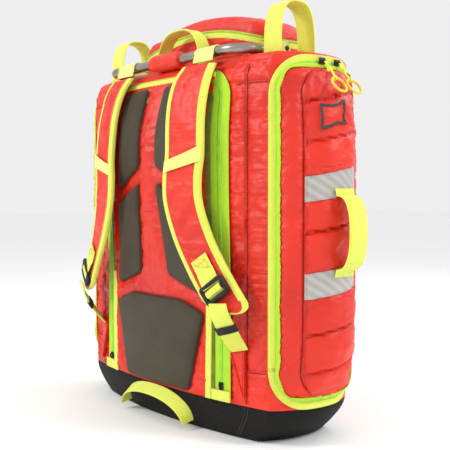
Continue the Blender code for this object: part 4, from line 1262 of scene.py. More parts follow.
def press_quilts(cloth):
    """Sinks the quilting and the seam between face and gusset."""
    normals = cloth.normals()
    for r, v in enumerate(DOOR_ROWS):
        for c, t in enumerate(DOOR_COLUMNS):
            depth = 0.0014 * away(abs(t) - FACE_SHARE, 0.035)
            if abs(t) < FACE_SHARE:
                gaps = [v - slanted(level, cloth.points[r, c, 1]) for level in QUILTS]
                depth = max([depth] + [0.0026 * away(gap, 0.012) ** 1.5 for gap in gaps])
            cloth.points[r, c] -= normals[r, c] * depth


def share_of(value, values):
    """Where a value lies in a rising list, from 0 to 1."""
    return float(np.interp(value, values, np.arange(len(values)))) / (len(values) - 1)


def door(word, side, cloth):
    body = f"side_door_{word}"
    surface = Sampled(cloth)

    def on_gusset(t, z, lift):
        return surface(share_of(z, DOOR_ROWS), share_of(t, DOOR_COLUMNS), lift)

    def on_face(y, z, lift):
        return on_gusset(FACE_SHARE * y / face_half(z), z, lift)

    piece = Piece().cloth(cloth, "red_soft", back=0.0026)
    upright = through(FACE_LOW, FACE_HIGH, 110)
    across = through(-0.93, 0.93, 24)
    rim = [(0.962, v) for v in upright] + [(-t, POCKET_HIGH - 0.0040) for t in across]
    rim += [(-0.962, v) for v in upright[::-1]] + [(t, POCKET_LOW + 0.0040) for t in across]
    piece.on(on_gusset, rim, flat(0.0078, 0.0016), "tape", 0.0014, closed=True)
    piece.sewn(on_gusset, [(t * 0.965, v) for t, v in rim], "pale_thread", 0.0024)
    for way in BOTH:
        seam = [(way * FACE_SHARE, z) for z in spread(POCKET_LOW + 0.008, POCKET_HIGH - 0.008, 60)]
        piece.stitches(on_gusset, [(t * 0.93, z) for t, z in seam], "red_thread", lift=0.0006)
        # A dark red strip of painted shade lies in the seam between face and gusset.
        piece.on(on_gusset, seam, flat(0.0016, 0.0018), "red_dark", 0.0002)
    for level in QUILTS:
        for shift in (-0.0016, 0.0016):
            line = [(y, slanted(level + shift, y)) for y in spread(-0.047, 0.047, 24)]
            line = [(y, z) for y, z in line if z < POCKET_HIGH - 0.010]
            piece.stitches(on_face, line, "red_thread", lift=0.0008)
    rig.padded(piece.make(f"{body}_fabric", body, "red_fabric", [body]), fill=0.6)
    for level, middle in STRIPES.items():
        stripe(f"stripe_{level}_{word}", body, side, middle, on_face)
    if side > 0:
        patch(on_face, body)
    side_handle(word, side, on_face)


def stripe(name, body, side, middle, on_face):
    """Reflective tape across a door's face."""
    rises = [STRIPE_HALF * s for s in through(-1, 1, 12)]
    grid = [[tuple(on_face(y, slanted(middle, y) + rise, 0.0010)) for rise in rises]
            for y in through(-0.0492, 0.0492, 32)]
    thin = Cloth(grid, np.ones((33, 13)), (side * 0.24, 0, 0.31))
    piece = Piece().cloth(thin, "silver", back=0.0005)
    piece.uvs = [(0.003 * k, 0.003 * j) for k in range(33) for j in range(13)] * 2
    for edge in BOTH:
        line = [(y, slanted(middle, y) + edge * (STRIPE_HALF - 0.0022)) for y in spread(-0.047, 0.047, 30)]
        piece.stitches(on_face, line, "silver", lift=0.0014)
    piece.make(f"{name}_tape", body, "reflective_tape", [name])


def patch_edge(grow):
    """The badge's outline: a slanting square with hollow sides."""
    line = []
    for turn in round_turns(64):
        u, v = math.cos(turn), math.sin(turn)
        square = 1 / max(abs(u), abs(v))
        half = PATCH_HALF + grow
        y = PATCH_Y + half * u * square * (1 - 0.04 * (1 - abs(v * square)))
        hollow = 1 - 0.24 * (1 - (u * square) ** 2)
        line.append((y, PATCH_Z + half * v * square * hollow + PATCH_SLOPE * (y - PATCH_Y)))
    return line


def patch(on_face, body):
    """A blank badge: a border round a red field."""
    profile = ((0.0, 0.0006), (-0.0004, 0.0024), (-0.0040, 0.0026), (-0.0090, 0.0026), (-0.0150, 0.0026))
    rings = [[on_face(y, z, lift) for y, z in patch_edge(grow)] for grow, lift in profile]
    piece = Piece().rings(rings, "red", (True, True))
    piece.on(on_face, patch_edge(-0.0016), flat(0.0040, 0.0024), "patch", 0.0028, closed=True)
    piece.make("patch_cloth", body, "patch_grey", ["side_patch_right"])


def side_handle(word, side, on_face):
    low, high = 0.262, 0.368
    feet = [(y, z) for y in (-0.017, 0.0, 0.017) for z in (low - 0.006, low, high, high + 0.006)]
    foot = max([side * on_face(y, z, 0.0040).x for y, z in feet] + [FACE_X + 0.0022])
    path = arch((side * foot, 0, low), (side * foot, 0, high), 0.025, X * side, 33, 2.4)
    piece = Piece().ribbon(path, Y, 0.036, 0.0026, "webbing")
    middle = [p + X * side * 0.0002 for p in path[8:25]]
    widths = [1.0 + 0.12 * math.sin(math.pi * k / 16) for k in range(17)]
    piece.ribbon(middle, Y, 0.030, 0.0044, "webbing", widths=widths)
    for shift in (-0.0145, 0.0145):
        line = [p + Vector((side * 0.0015, shift, 0)) for p in evenly(path[2:31], 0.0040)]
        outs = [direction(line, i).cross(Y) for i in range(len(line))]
        outs = [out if out.x * side > 0 else -out for out in outs]
        piece.dashes(line, [Y] * len(line), outs, "pale_thread", 0.0040)
    for z, way in ((low, -1), (high, 1)):
        steps = ((0.0003, 0), (0.0012, 0.004), (0.0026, 0.010))
        flap = [(side * (foot - inset), 0, z + way * step) for inset, step in steps]
        piece.ribbon(flap, Y, 0.037, 0.0022, "webbing")
    name = f"side_handle_{word}"
    piece.make(f"{name}_webbing", name, "yellow_webbing", [name])


def pocket_line(grow):
    """The side pocket's outline on the wall, as (u, z) points."""
    half, low, high, corner = POCKET_ARC + grow, POCKET_LOW - grow, POCKET_HIGH + grow, POCKET_CORNER + grow
    points = []
    foot, top = low + corner, high - corner
    for a, b, start in ((-1, foot, 180), (1, foot, 270), (1, top, 0), (-1, top, 90)):
        turns = [math.radians(start + 10 * k) for k in range(10)]
        points += arc(Vector((a * (half - corner), b)), Vector((corner, 0)), Vector((0, corner)), turns)
    return evenly(points, 0.006, closed=True)


def side_zip(word, side):
    wall = wall_point(side)
    piece = Piece().on(wall, pocket_line(0.0070), flat(0.0120, 0.0018), "webbing", 0.0024, closed=True)
    piece.coil(wall, pocket_line(0.0000), 0.0030, closed=True, half=0.0030)
    for grow in (0.0022, 0.0112):
        piece.stitches(wall, pocket_line(grow), "pale_thread", lift=0.0034, closed=True, pitch=0.0040)
    piece.make(f"side_zip_{word}_tape", "root", "zip_tape", [f"side_zip_{word}"])


# ---- sliders and pulls

CORD_DIAMETER, CORD_REACH, RING_RADIUS = 0.003, 0.046, 0.0125


def slab(piece, low, high, paint, bevel=0.001):
    """A small box with softened edges."""
    low, high = Vector(low), Vector(high)
    middle, half = (low + high) / 2, (high - low) / 2
    rings = []
    for level, shrink in ((-half.z, bevel), (bevel - half.z, 0), (half.z - bevel, 0), (half.z, bevel)):
        ring = []
        x, y = half.x - shrink, half.y - shrink
        for a, b in ((1, 1), (-1, 1), (-1, -1), (1, -1)):
            cuts = [(x, y - bevel), (x - bevel, y)]
            ring += [middle + Vector((a * u, b * v, level)) for u, v in (cuts[::-1] if a * b < 0 else cuts)]
        rings.append(ring)
    piece.rings(rings, paint, (True, True))


def slider(name, low, high, out, along):
    """A slider's body with a bridge over it."""
    piece = Piece()
    slab(piece, low, high, "plastic")
    foot = (Vector(low) + Vector(high)) / 2 + out * 0.0012
    piece.tube(arc(foot, along * 0.0042, out * 0.0042, through(0, math.pi, 8)), 0.0011, "plastic", sides=8)
    piece.make(f"{name}_cast", name, "dark_plastic", [name])


def pull(name, top, down, reach_to, ring_radius, wide, curl):
    """A knotted cord through a slider, with a ring at its end."""
    top, down = Vector(top), Vector(down).normalized()
    centre, out = top + down * reach_to, down.cross(wide).normalized()
    line = arc(centre, down * 1.06 * ring_radius, wide * 0.94 * ring_radius, round_turns(40))
    hoop = Piece().tube(line, 0.0019, "ring", sides=12, closed=True)
    ring = hoop.make(f"{name}_ring", name, "ring_yellow", [name])
    span = reach_to - ring_radius
    path = []
    for t in through(0, 1, 16):
        sway = math.sin(math.pi * t) * curl
        path.append(top + down * (span + 0.0006) * t + wide * sway * 0.5 + out * sway * 0.3)
    cord = Piece().tube(path, CORD_DIAMETER / 2, "rope").make(f"{name}_cord", name, "ring_yellow")
    tied = Piece()
    knot = top + down * span * 0.42 + wide * curl * 0.45
    for turn, size in ((0.0, 0.0030), (2.1, 0.0026), (4.2, 0.0028)):
        spin = wide * math.cos(turn) + out * math.sin(turn)
        loop = arc(knot + spin * 0.0010, spin * 0.9 * size, down * 0.8 * size, round_turns(18))
        tied.tube(loop, 0.00135, "rope", sides=8, closed=True)
    bight = arc(centre - down * (ring_radius * 1.02), out * 0.0028, down * 0.9 * 0.0028, round_turns(14))
    tied.tube(bight, 0.0012, "rope", sides=8, closed=True)
    return cord, path, [tied.make(f"{name}_knot", name, "ring_yellow"), ring]


def hang(name, top, down, wide, curl):
    """A pull whose cord is long enough to be declared."""
    cord, path, tied = pull(name, top, down, CORD_REACH, RING_RADIUS, wide, curl)
    length = sum((b - a).length for a, b in zip(path, path[1:]))
    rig.cord(cord, exit=path[0], length=length, diameter=CORD_DIAMETER, far_end="fitting", stiffness="limp",
            lay="hanging", path=path, with_pieces=tied)


def pulls():
    for name, side, y, curl in (("left_1", -1, -0.010, 0.0024), ("right_1", 1, -0.010, 0.0024),
                                ("right_2", 1, 0.022, -0.0024)):
        x = side_x(y) + 0.0074
        near, far = sorted((side * x, side * (x + 0.004)))
        low, high = (near, y - 0.006, POCKET_HIGH - 0.0005), (far, y + 0.006, POCKET_HIGH + 0.0085)
        slider(f"side_slider_{name}", low, high, X * side, Y)
        top = (side * (x + 0.0075), y, POCKET_HIGH + 0.0025)
        hang(f"side_pull_{name}", top, (side * 0.62, 0, -0.78), Y, curl)
    y = front_y(0) + 0.0065
    slider("front_slider", (-0.006, y, 0.536), (0.006, y + 0.004, 0.545), Y, X)
    hang("front_pull", (0, y + 0.0072, 0.540), (0, 0.22, -0.97), X, 0.0022)
    x = -HUMP_HALF_X - 0.0005
    slider("top_slider", (x - 0.004, 0.019, 0.609), (x, 0.031, 0.618), -X, Y)
    pull("top_pull", (x - 0.0088, 0.025, 0.612), -Z, 0.020, 0.008, Y, 0.0008)


# ---- shoulder straps

STRAP_TIP = (0.004, 0.008, 0.012, 0.016, 0.019, 0.0215, 0.0232, 0.0240)   # rows past the path's end
TIP_ROWS, TIP_LENGTH = len(STRAP_TIP), 0.0246
ACROSS = (0.0, 0.15, 0.30, 0.44, 0.58, 0.70, 0.80, 0.90, 0.97, 1.0)
BAND_LOW, BAND_HIGH, BAND_SLANT = 0.402, 0.420, 2.6


def strap_line():
    """Centres and turns along the strap, on a smooth curve through its path."""
    rows = np.array(STRAP_PATH)
    padded = np.vstack([2 * rows[0] - rows[1], rows, 2 * rows[-1] - rows[-2]])
    made = []
    for p in (padded[i:i + 4] for i in range(len(rows) - 1)):
        for t in spread(0, 1, 10):
            made.append(0.5 * (2 * p[1] + (p[2] - p[0]) * t + (2 * p[0] - 5 * p[1] + 4 * p[2] - p[3]) * t * t
                               + (3 * p[1] - p[0] - 3 * p[2] + p[3]) * t ** 3))
    made.append(rows[-1])
    step = (rows[-1] - rows[-2])[:3]
    step = step / np.linalg.norm(step)
    return made + [np.append(rows[-1][:3] + step * along, rows[-1][3]) for along in STRAP_TIP]


STRAP_LINE = strap_line()
STRAP_ROWS = len(STRAP_LINE)


def strap_frame(side, row):
    """The strap's centre at a row, its width's and its outward direction, and half its width."""
    x, depth, z, turn = STRAP_LINE[row]
    angle = math.radians(turn)
    wide = Vector((side * math.cos(angle), math.sin(angle), 0))
    out = Vector((side * math.sin(angle), -math.cos(angle), 0))
    half = STRAP_HALF
    if row >= STRAP_ROWS - TIP_ROWS:
        half *= math.sqrt(1 - (STRAP_TIP[row - STRAP_ROWS + TIP_ROWS] / TIP_LENGTH) ** 2)
    elif row < 10:
        half *= 0.93 + 0.007 * row
    return Vector((side * x, -HALF_DEPTH + depth, z)), wide, out, half


def half_thick(u):
    return 0.003 + 0.002 * smooth(1 - abs(u), 0.0, 0.25)


def row_at_height(z):
    return float(np.interp(-z, [-p[2] for p in STRAP_LINE], range(STRAP_ROWS)))


def strap_cloth(side):
    upper = [-u for u in ACROSS[:0:-1]] + list(ACROSS)
    section = [(u, half_thick(u)) for u in upper] + [(u, -half_thick(u)) for u in upper[::-1]]
    points = []
    for row in range(STRAP_ROWS):
        centre, wide, out, half = strap_frame(side, row)
        thin = 0.4 + 0.6 * min(1.0, half / 0.02)
        points.append([tuple(centre + wide * half * u + out * t * thin) for u, t in section])
    hold = np.ones((STRAP_ROWS, len(section)))
    for row in range(2, STRAP_ROWS - TIP_ROWS - 1):
        pressed = row_at_height(0.455) < row < row_at_height(0.385) or row > row_at_height(0.300)
        for c, (u, t) in enumerate(section):
            if abs(u) < 0.70:
                hold[row, c] = 0.6 if t < 0 else 0.9 if pressed else 0.15
    return Cloth(points, hold, (side * 0.13, -0.135, 0.40), wrap=True, cap=0.0030, pressure=2.0, grow=0.05)


def strap_top(side):
    """The strap's outer face, by the share across (-1 to 1) and the row."""
    def top(u, row, lift):
        row = min(max(row, 0.0), STRAP_ROWS - 1.001)
        i = int(row)
        a, b = strap_frame(side, i), strap_frame(side, min(i + 1, STRAP_ROWS - 1))
        centre, wide, out = (p.lerp(q, row - i) for p, q in zip(a[:3], b[:3]))
        half = a[3] * (1 - row + i) + b[3] * (row - i)
        return centre + wide * half * u + out * (half_thick(u) + lift)

    return top


def sewn_box(piece, surface, half, a, b, order, paint, lift):
    """Stitched lines between the corners of a box; order pairs the corners w, x, y and z."""
    corners = {"w": (-half, a), "x": (half, a), "y": (half, b), "z": (-half, b)}
    for pair in order.split():
        (u, r), (v, s) = corners[pair[0]], corners[pair[1]]
        piece.sewn(surface, [(u + (v - u) * t, r + (s - r) * t) for t in through(0, 1, 9)], paint, lift)


def strap(word, side, cloth):
    body = f"shoulder_strap_{word}"
    top = strap_top(side)
    piece = Piece().rings(cloth.points, "red_soft", (True, True))
    low, high = row_at_height(0.528), row_at_height(0.556)
    sewn_box(piece, top, 0.52, low, high, "wx xy yz zw wy xz", "red_thread", 0.0034)
    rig.padded(piece.make(f"{body}_pad", body, "red_fabric", [body]), fill=0.7)
    trim = Piece()
    strap_binding(trim, side, top)
    pale_band(trim, side, top)
    rows = [row_at_height(0.276 - 0.0022 * k) for k in range(10)]
    path = [top(0.0, row, 0.0032) for row in rows]
    middle, _, down, out = lock_frame(side)
    path.append(path[-1].lerp(middle, 0.55) + out * 0.001)
    path.append(middle - down * 0.0075 + out * 0.0005)
    trim.ribbon(path, strap_frame(side, 72)[1], 0.031, 0.0018, "webbing")
    sewn_box(trim, top, 0.34, rows[0] + 0.4, rows[6], "wx zy wy xz wz xy", "orange_thread", 0.0048)
    trim.make(f"{body}_trim", body, "yellow_webbing")


def strap_binding(trim, side, top):
    """The binding down both edges and round the tip."""
    rim = [(0.0, 0.0040), (0.0016, 0.0022), (0.0016, -0.0022), (0.0, -0.0040)]
    for edge in BOTH:
        frames = [strap_frame(side, row) for row in range(STRAP_ROWS - TIP_ROWS)]
        path = [centre + wide * edge * half for centre, wide, _, half in frames]
        section = [(-0.0088, 0.0050), (-0.004, 0.0048)] + rim + [(-0.004, -0.0048), (-0.0088, -0.0052)]
        trim.sweep(path, [f[1] * edge for f in frames], [f[2] for f in frames], section, "webbing")
        line = [(edge * (1 - 0.0072 / STRAP_HALF), row) for row in range(1, STRAP_ROWS - TIP_ROWS - 1)]
        trim.sewn(top, line, "pale_thread", 0.0022)
    base, wide, out, _ = strap_frame(side, STRAP_ROWS - TIP_ROWS - 1)
    ahead = strap_frame(side, STRAP_ROWS - 1)[0] - base
    tip = arc(base, wide * STRAP_HALF, ahead * 1.02, through(0, math.pi, 24))
    section = [(-0.0088, 0.0046)] + rim + [(-0.0088, -0.0046)]
    trim.sweep(tip, [(p - base).normalized() for p in tip], [out] * len(tip), section, "webbing")


def pale_band(trim, side, top):
    """The slanting band over the strap."""
    low, high = row_at_height(BAND_LOW), row_at_height(BAND_HIGH)

    def at(u, share):
        return high + (low - high) * share - (u + 1) * BAND_SLANT

    grid = [[tuple(top(u, at(u, s), 0.0034 if abs(u) < 0.99 else 0.0016)) for s in through(0, 1, 4)]
            for u in through(-1, 1, 12)]
    trim.cloth(Cloth(grid, np.ones((13, 5)), tuple(strap_frame(side, 40)[0])), "pale", back=0.0010)
    for share in (0.12, 0.88):
        trim.sewn(top, [(u, at(u, share)) for u in spread(-0.9, 0.9, 16)], "pale_thread", 0.0042)


def yoke(word, side):
    middle = Vector((side * 0.112, TUBE_Y, TUBE_Z))
    radius = TUBE_R + 0.0013
    path = [Vector((middle.x, TUBE_Y - 0.0115, 0.5735)), Vector((middle.x, TUBE_Y - 0.0108, 0.580))]
    path += arc(middle, Y * radius, Z * radius, [math.radians(turn) for turn in through(196, -50, 20)])
    piece = Piece().ribbon(path, X, 0.050, 0.0016, "pale")
    line = evenly(path[2:], 0.004)
    outs = [(p - middle).normalized() for p in line]
    for shift in (-0.0215, 0.0215):
        piece.dashes([p + X * shift + out * 0.0009 for p, out in zip(line, outs)], [X] * len(line), outs,
                     "orange_thread", 0.0040)
    name = f"strap_yoke_{word}"
    piece.make(f"{name}_webbing", f"shoulder_strap_{word}", "yellow_webbing", [name])


def lock_frame(side):
    """The ladder lock's middle, and its width's, length's and outward directions."""
    centre, _, out, _ = strap_frame(side, 80)
    x, depth, z, _ = STRAP_PATH[-1]
    down = (Vector((side * x, -HALF_DEPTH + depth, z)) - centre).normalized()
    down = (down - out * down.dot(out)).normalized()
    wide = out.cross(down).normalized() * side
    return centre + down * 0.028 + out * (STRAP_THICK / 2 + 0.0075), wide, down, out


def ladder_lock(word, side):
    middle, wide, down, out = lock_frame(side)
    half_w, half_h = 0.0225, 0.0135
    piece = Piece()
    for at, radius in ((-half_h + 0.0022, 0.0034), (0.0004, 0.0027), (half_h - 0.0010, 0.0038)):
        base, reach_to = middle + down * at, wide * (half_w - 0.002)
        bar = [base + reach_to * u + out * 0.0006 * (1 - u * u) for u in through(-1, 1, 8)]
        piece.tube(bar, radius, "plastic")
    for way in BOTH:
        ends = half_h - 0.002
        rail = [middle + wide * way * (half_w - 0.0028) + down * t for t in through(-ends, ends, 8)]
        piece.tube(rail, 0.0037, "plastic", sides=12)
    lip = [middle + down * (half_h - 0.001) + wide * u * 0.012 + out * 0.0022 for u in through(-1, 1, 6)]
    piece.tube(lip, 0.0016, "plastic", sides=8)
    name = f"ladder_lock_{word}"
    piece.make(f"{name}_cast", name, "dark_plastic", [name])
    woven = ((0.0098, -0.0030), (0.0060, -0.0012), (0.0045, 0.0028), (0.0010, 0.0034),
             (-0.0030, 0.0030), (-0.0050, -0.0005), (-0.0040, -0.0032), (0.0040, -0.0042))
    web = Piece().ribbon([middle + down * a + out * b for a, b in woven], wide, 0.030, 0.0014, "webbing")
    web.make(f"{name}_webbing", name, "yellow_webbing")


def tail(word, side):
    """The adjusting webbing from the wedge tab up to the lock, with its keeper."""
    foot = Vector((side * 0.1965, -0.0950, 0.1390))
    top = Vector((side * 0.1995, -0.1395, 0.2120))
    middle = top.lerp(foot, 0.5) + Vector((side * 0.001, -0.006, 0))
    upper = top.lerp(middle, 0.5) - Y * 0.003
    lower = middle.lerp(foot, 0.5) - Y * 0.001
    path = evenly([foot, lower, middle, upper, top], 0.004)
    wides = []
    for t in through(0, 1, len(path) - 1):
        turn = math.radians(16 + 12 * math.sin(math.pi * min(1, t * 1.1)))
        wides.append(Vector((side * math.cos(turn), math.sin(turn), 0.30)))
    piece = Piece().ribbon(path, wides, 0.030, 0.0030, "webbing")
    made = piece.make(f"strap_tail_{word}_webbing", None, "yellow_webbing", [f"strap_tail_{word}"])
    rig.blend(made, "root", f"shoulder_strap_{word}", start=tuple(foot), end=tuple(top))
    k = len(path) // 2
    along = direction(path, k)
    wide = (wides[k] - along * wides[k].dot(along)).normalized()
    out = along.cross(wide).normalized()
    loop = []
    for turn in round_turns(28):
        u = math.copysign(abs(math.cos(turn)) ** 0.35, math.cos(turn)) * 0.0163
        v = math.copysign(abs(math.sin(turn)) ** 0.7, math.sin(turn)) * 0.0028
        loop.append(path[k] + wide * u + out * v)
    outs = [(p - path[k]).normalized() for p in loop]
    keeper = Piece().sweep(loop, [along] * len(loop), outs, flat(0.0135, 0.0018), "black", closed=True)
    keeper.make(f"tail_keeper_{word}_elastic", "root", "elastic_black", [f"tail_keeper_{word}"])


# ---- tube, handles and loops

RIVET = (                    # radius and height of the rivets' rounded heads
    (0.0042, 0.0), (0.0042, 0.0008), (0.0036, 0.0016), (0.0022, 0.0020), (0.0016, 0.0017), (0.0004, 0.0015),
)
GRIP_HALF, ANCHOR_Y, TAB_OUT = 0.042, -0.015, 0.0106


def tube_path():
    bend = TUBE_LEG_X - TUBE_BEND
    half = [Vector((x, TUBE_Y, TUBE_Z)) for x in through(0, bend, 12)]
    half += arc(Vector((bend, TUBE_Y + TUBE_BEND, TUBE_Z)), -Y * TUBE_BEND, X * TUBE_BEND,
                through(0, math.pi / 2, 16)[1:])
    half.append(Vector((TUBE_LEG_X, TUBE_END_Y, TUBE_Z)))
    return [Vector((-p.x, p.y, p.z)) for p in half[:0:-1]] + half


def tube_and_grip():
    piece = Piece().tube(tube_path(), TUBE_R, "metal", sides=28)
    for side in BOTH:
        plug = [Vector((side * TUBE_LEG_X, TUBE_END_Y + t, TUBE_Z)) for t in (-0.004, 0.0, 0.0008)]
        piece.tube(plug, 1, "plastic", 24, radii=[TUBE_R + 0.0002, TUBE_R + 0.0002, TUBE_R - 0.001])
    piece.make("frame_tube_polished", "root", "satin_aluminium", ["frame_tube"])
    line = [Vector((x, TUBE_Y, TUBE_Z)) for x in through(-GRIP_HALF, GRIP_HALF, 60)]
    radii = []
    for x, _, _ in line:
        swell = 0.0040 + 0.0024 * (1 - (x / GRIP_HALF) ** 4) + 0.0010 * noise.noise(Vector((x * 55, 3.1, 0)))
        radii.append((TUBE_R + swell) * (1 - max(0, abs(x) - 0.0405) / 0.0015 * 0.3))
    grip = Piece().tube(line, 1, "red", 28, radii=radii)
    for x in (-0.037, 0.037):
        centre = Vector((x, TUBE_Y, TUBE_Z))
        ring = arc(centre, Y * (TUBE_R + 0.0046), Z * (TUBE_R + 0.0046), round_turns(28))
        grip.dashes(ring, [X] * len(ring), [(p - centre).normalized() for p in ring], "red_thread", 0.003)
    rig.padded(grip.make("tube_grip_sleeve", "root", "red_fabric", ["tube_grip"]), fill=0.8)


def anchors():
    for word, side in SIDES.items():
        x, radius = side * TUBE_LEG_X, TUBE_R + 0.0012
        over = arc(Vector((x, ANCHOR_Y, TUBE_Z)), X * side * radius, Z * radius, through(0, math.pi, 16))
        ends = [Vector((x + side * way * radius, ANCHOR_Y, 0.5810)) for way in (1, -1)]
        piece = Piece().ribbon([ends[0], *over, ends[1]], Y, 0.045, 0.0016, "pale")
        tab = [Vector((x + side * TAB_OUT, ANCHOR_Y, z)) for z in (0.5805, 0.5850, 0.592, 0.599, 0.6035)]
        piece.ribbon(tab, Y, 0.034, 0.0015, "pale")
        for edge in (-0.0145, 0.0145):
            line = evenly([p + Vector((side * 0.0009, edge, 0)) for p in tab], 0.0036)
            piece.dashes(line, [Y] * len(line), [X * side] * len(line), "pale_thread", 0.0036)
        piece.make(f"tube_anchor_{word}_webbing", "root", "yellow_webbing", [f"tube_anchor_{word}"])
        for number, y in ((1, -0.026), (2, -0.003)):
            upright = [Vector((x, y, TUBE_Z + TUBE_R + 0.0018 + height)) for _, height in RIVET]
            outward = [Vector((x + side * (TAB_OUT + 0.0006 + height), y, 0.5930)) for _, height in RIVET]
            head = Piece().tube(upright, 1, "rivet", 24, radii=[r for r, _ in RIVET])
            head.tube(outward, 1, "rivet", 24, radii=[r * 0.95 for r, _ in RIVET])
            name = f"tube_rivet_{word}_{number}"
            head.make(f"{name}_head", "root", "rivet_steel", [name])


def handle(name, path, wide, width, edge):
    """A loop of webbing with stitches along its edges, on both faces."""
    piece = Piece().ribbon(path, wide, width, 0.0026, "webbing")
    wide = Vector(wide).normalized()
    dense = evenly(path, 0.0038)
    for shift in (-width / 2 + edge, width / 2 - edge):
        line, outs = [], []
        for i, here in enumerate(dense):
            along = direction(dense, i)
            across = (wide - along * wide.dot(along)).normalized()
            out = along.cross(across).normalized()
            line += [here + across * shift + out * way * 0.0013 for way in BOTH]
            outs += [-out, out]
        piece.dashes(line, [wide] * len(line), outs, "pale_thread", 0.0038)
    piece.make(f"{name}_webbing", name, "yellow_webbing", [name])


def loops():
    base, count = 0.5793, 49
    for word, side in SIDES.items():
        x = side * 0.2175
        path = arch((x, -0.0495, base), (x, 0.0195, base), 0.0775, Z, count, 3.0)
        handle(f"top_loop_{word}", path, X, 0.038, 0.004)
    path = arch((-0.058, -0.055, base), (0.058, -0.055, base), 0.0625, Z, count, 2.6)
    handle("top_loop_centre", path, Y, 0.026, 0.0035)
    path = arch((-0.090, -0.1125, 0.012), (0.090, -0.1125, 0.012), 0.038, (0, -0.25, 1), count, 2.2)
    handle("drag_handle", path, (0, 0.75, 0.66), 0.0225, 0.0035)


# ---- top pocket and front door

LID_RINGS = (                # inset and height of the lid's rings
    (0.0, 0.0006), (0.0008, 0.0035), (0.0018, 0.0075), (0.0030, 0.0112), (0.0048, 0.0150),
    (0.0078, 0.0185), (0.0120, 0.0212), (0.0175, 0.0232), (0.0240, 0.0243), (0.0310, 0.0250),
    (0.0380, 0.0254), (0.0450, 0.0262), (0.0510, 0.0266),
)
HUMP_FLOOR, HUMP_SEAM, HUMP_Y = 0.5825, 0.5786, (HUMP_FRONT + HUMP_BACK) / 2
FRONT_HALF, FRONT_LOW, FRONT_HIGH = 0.178, 0.078, 0.543
FRONT_MIDDLE = Vector((0, (FRONT_LOW + FRONT_HIGH) / 2))
FRONT_RINGS = (              # share of the outline and height of the front door's rings
    (1.0, 0.0012), (1.0, 0.0030), (0.985, 0.0038), (0.96, 0.0048), (0.93, 0.0064), (0.89, 0.0088),
    (0.84, 0.0112), (0.78, 0.0132), (0.72, 0.0145), (0.65, 0.0158), (0.58, 0.0160), (0.50, 0.0162),
    (0.42, 0.0164), (0.34, 0.0166), (0.26, 0.0167), (0.18, 0.0168), (0.10, 0.0168), (0.02, 0.0168),
)


def hump_ring(shrink, rise):
    """The top pocket's outline at an inset, with its height above the zip's arch."""
    half_x, half_y = HUMP_HALF_X - shrink, (HUMP_FRONT - HUMP_BACK) / 2 - shrink
    corner = max(0.006, HUMP_CORNER - shrink)
    run, rest = half_x - corner, half_y - corner
    quarter = [(half_x, y) for y in spread(0, rest, 8)]
    quarter += [(run + corner * math.cos(t), rest + corner * math.sin(t)) for t in through(0, math.pi / 2, 8)]
    quarter += [(x, half_y) for x in through(run, 0.0, 20)[1:]]
    ring = quarter + [(-x, y) for x, y in quarter[-2::-1]]
    ring += [(x, -y) for x, y in ring[-2:0:-1]]
    arched = [HUMP_ZIP_END + HUMP_ZIP_RISE * (1 - (x / HUMP_HALF_X) ** 2) for x, _ in ring]
    return [(x, HUMP_Y + y, z + rise) for (x, y), z in zip(ring, arched)]


def toward(top, ring, share):
    """A ring drawn in towards a point."""
    return [tuple(Vector(top).lerp(Vector(p), share)) for p in ring]


def ring_holds(shape, *held):
    """A hold for rings: free but for the (row, hold) pairs."""
    hold = np.zeros(shape)
    for row, value in held:
        hold[row] = value
    return hold


def lid_cloth():
    rings = np.array([hump_ring(*pair) for pair in LID_RINGS])
    hold = ring_holds(rings.shape[:2], (0, 1), (1, 0.7), (-2, 0.6), (-1, 1))
    return Cloth(rings, hold, (0, HUMP_Y, 0.60), wrap=True, cap=0.0014, pressure=1.6, grow=0.04)


def wall_cloth():
    seam = hump_ring(0.0, 0.0)
    shares = through(0, 1, 12)
    rings = np.array([[(x, y, HUMP_SEAM + (z - HUMP_SEAM) * t) for x, y, z in seam] for t in shares])
    hold = ring_holds(rings.shape[:2], (0, 1), (-1, 1), (-2, 0.6))
    return Cloth(rings, hold, (0, HUMP_Y, 0.58), wrap=True, cap=0.0022, pressure=1.2, grow=0.03)


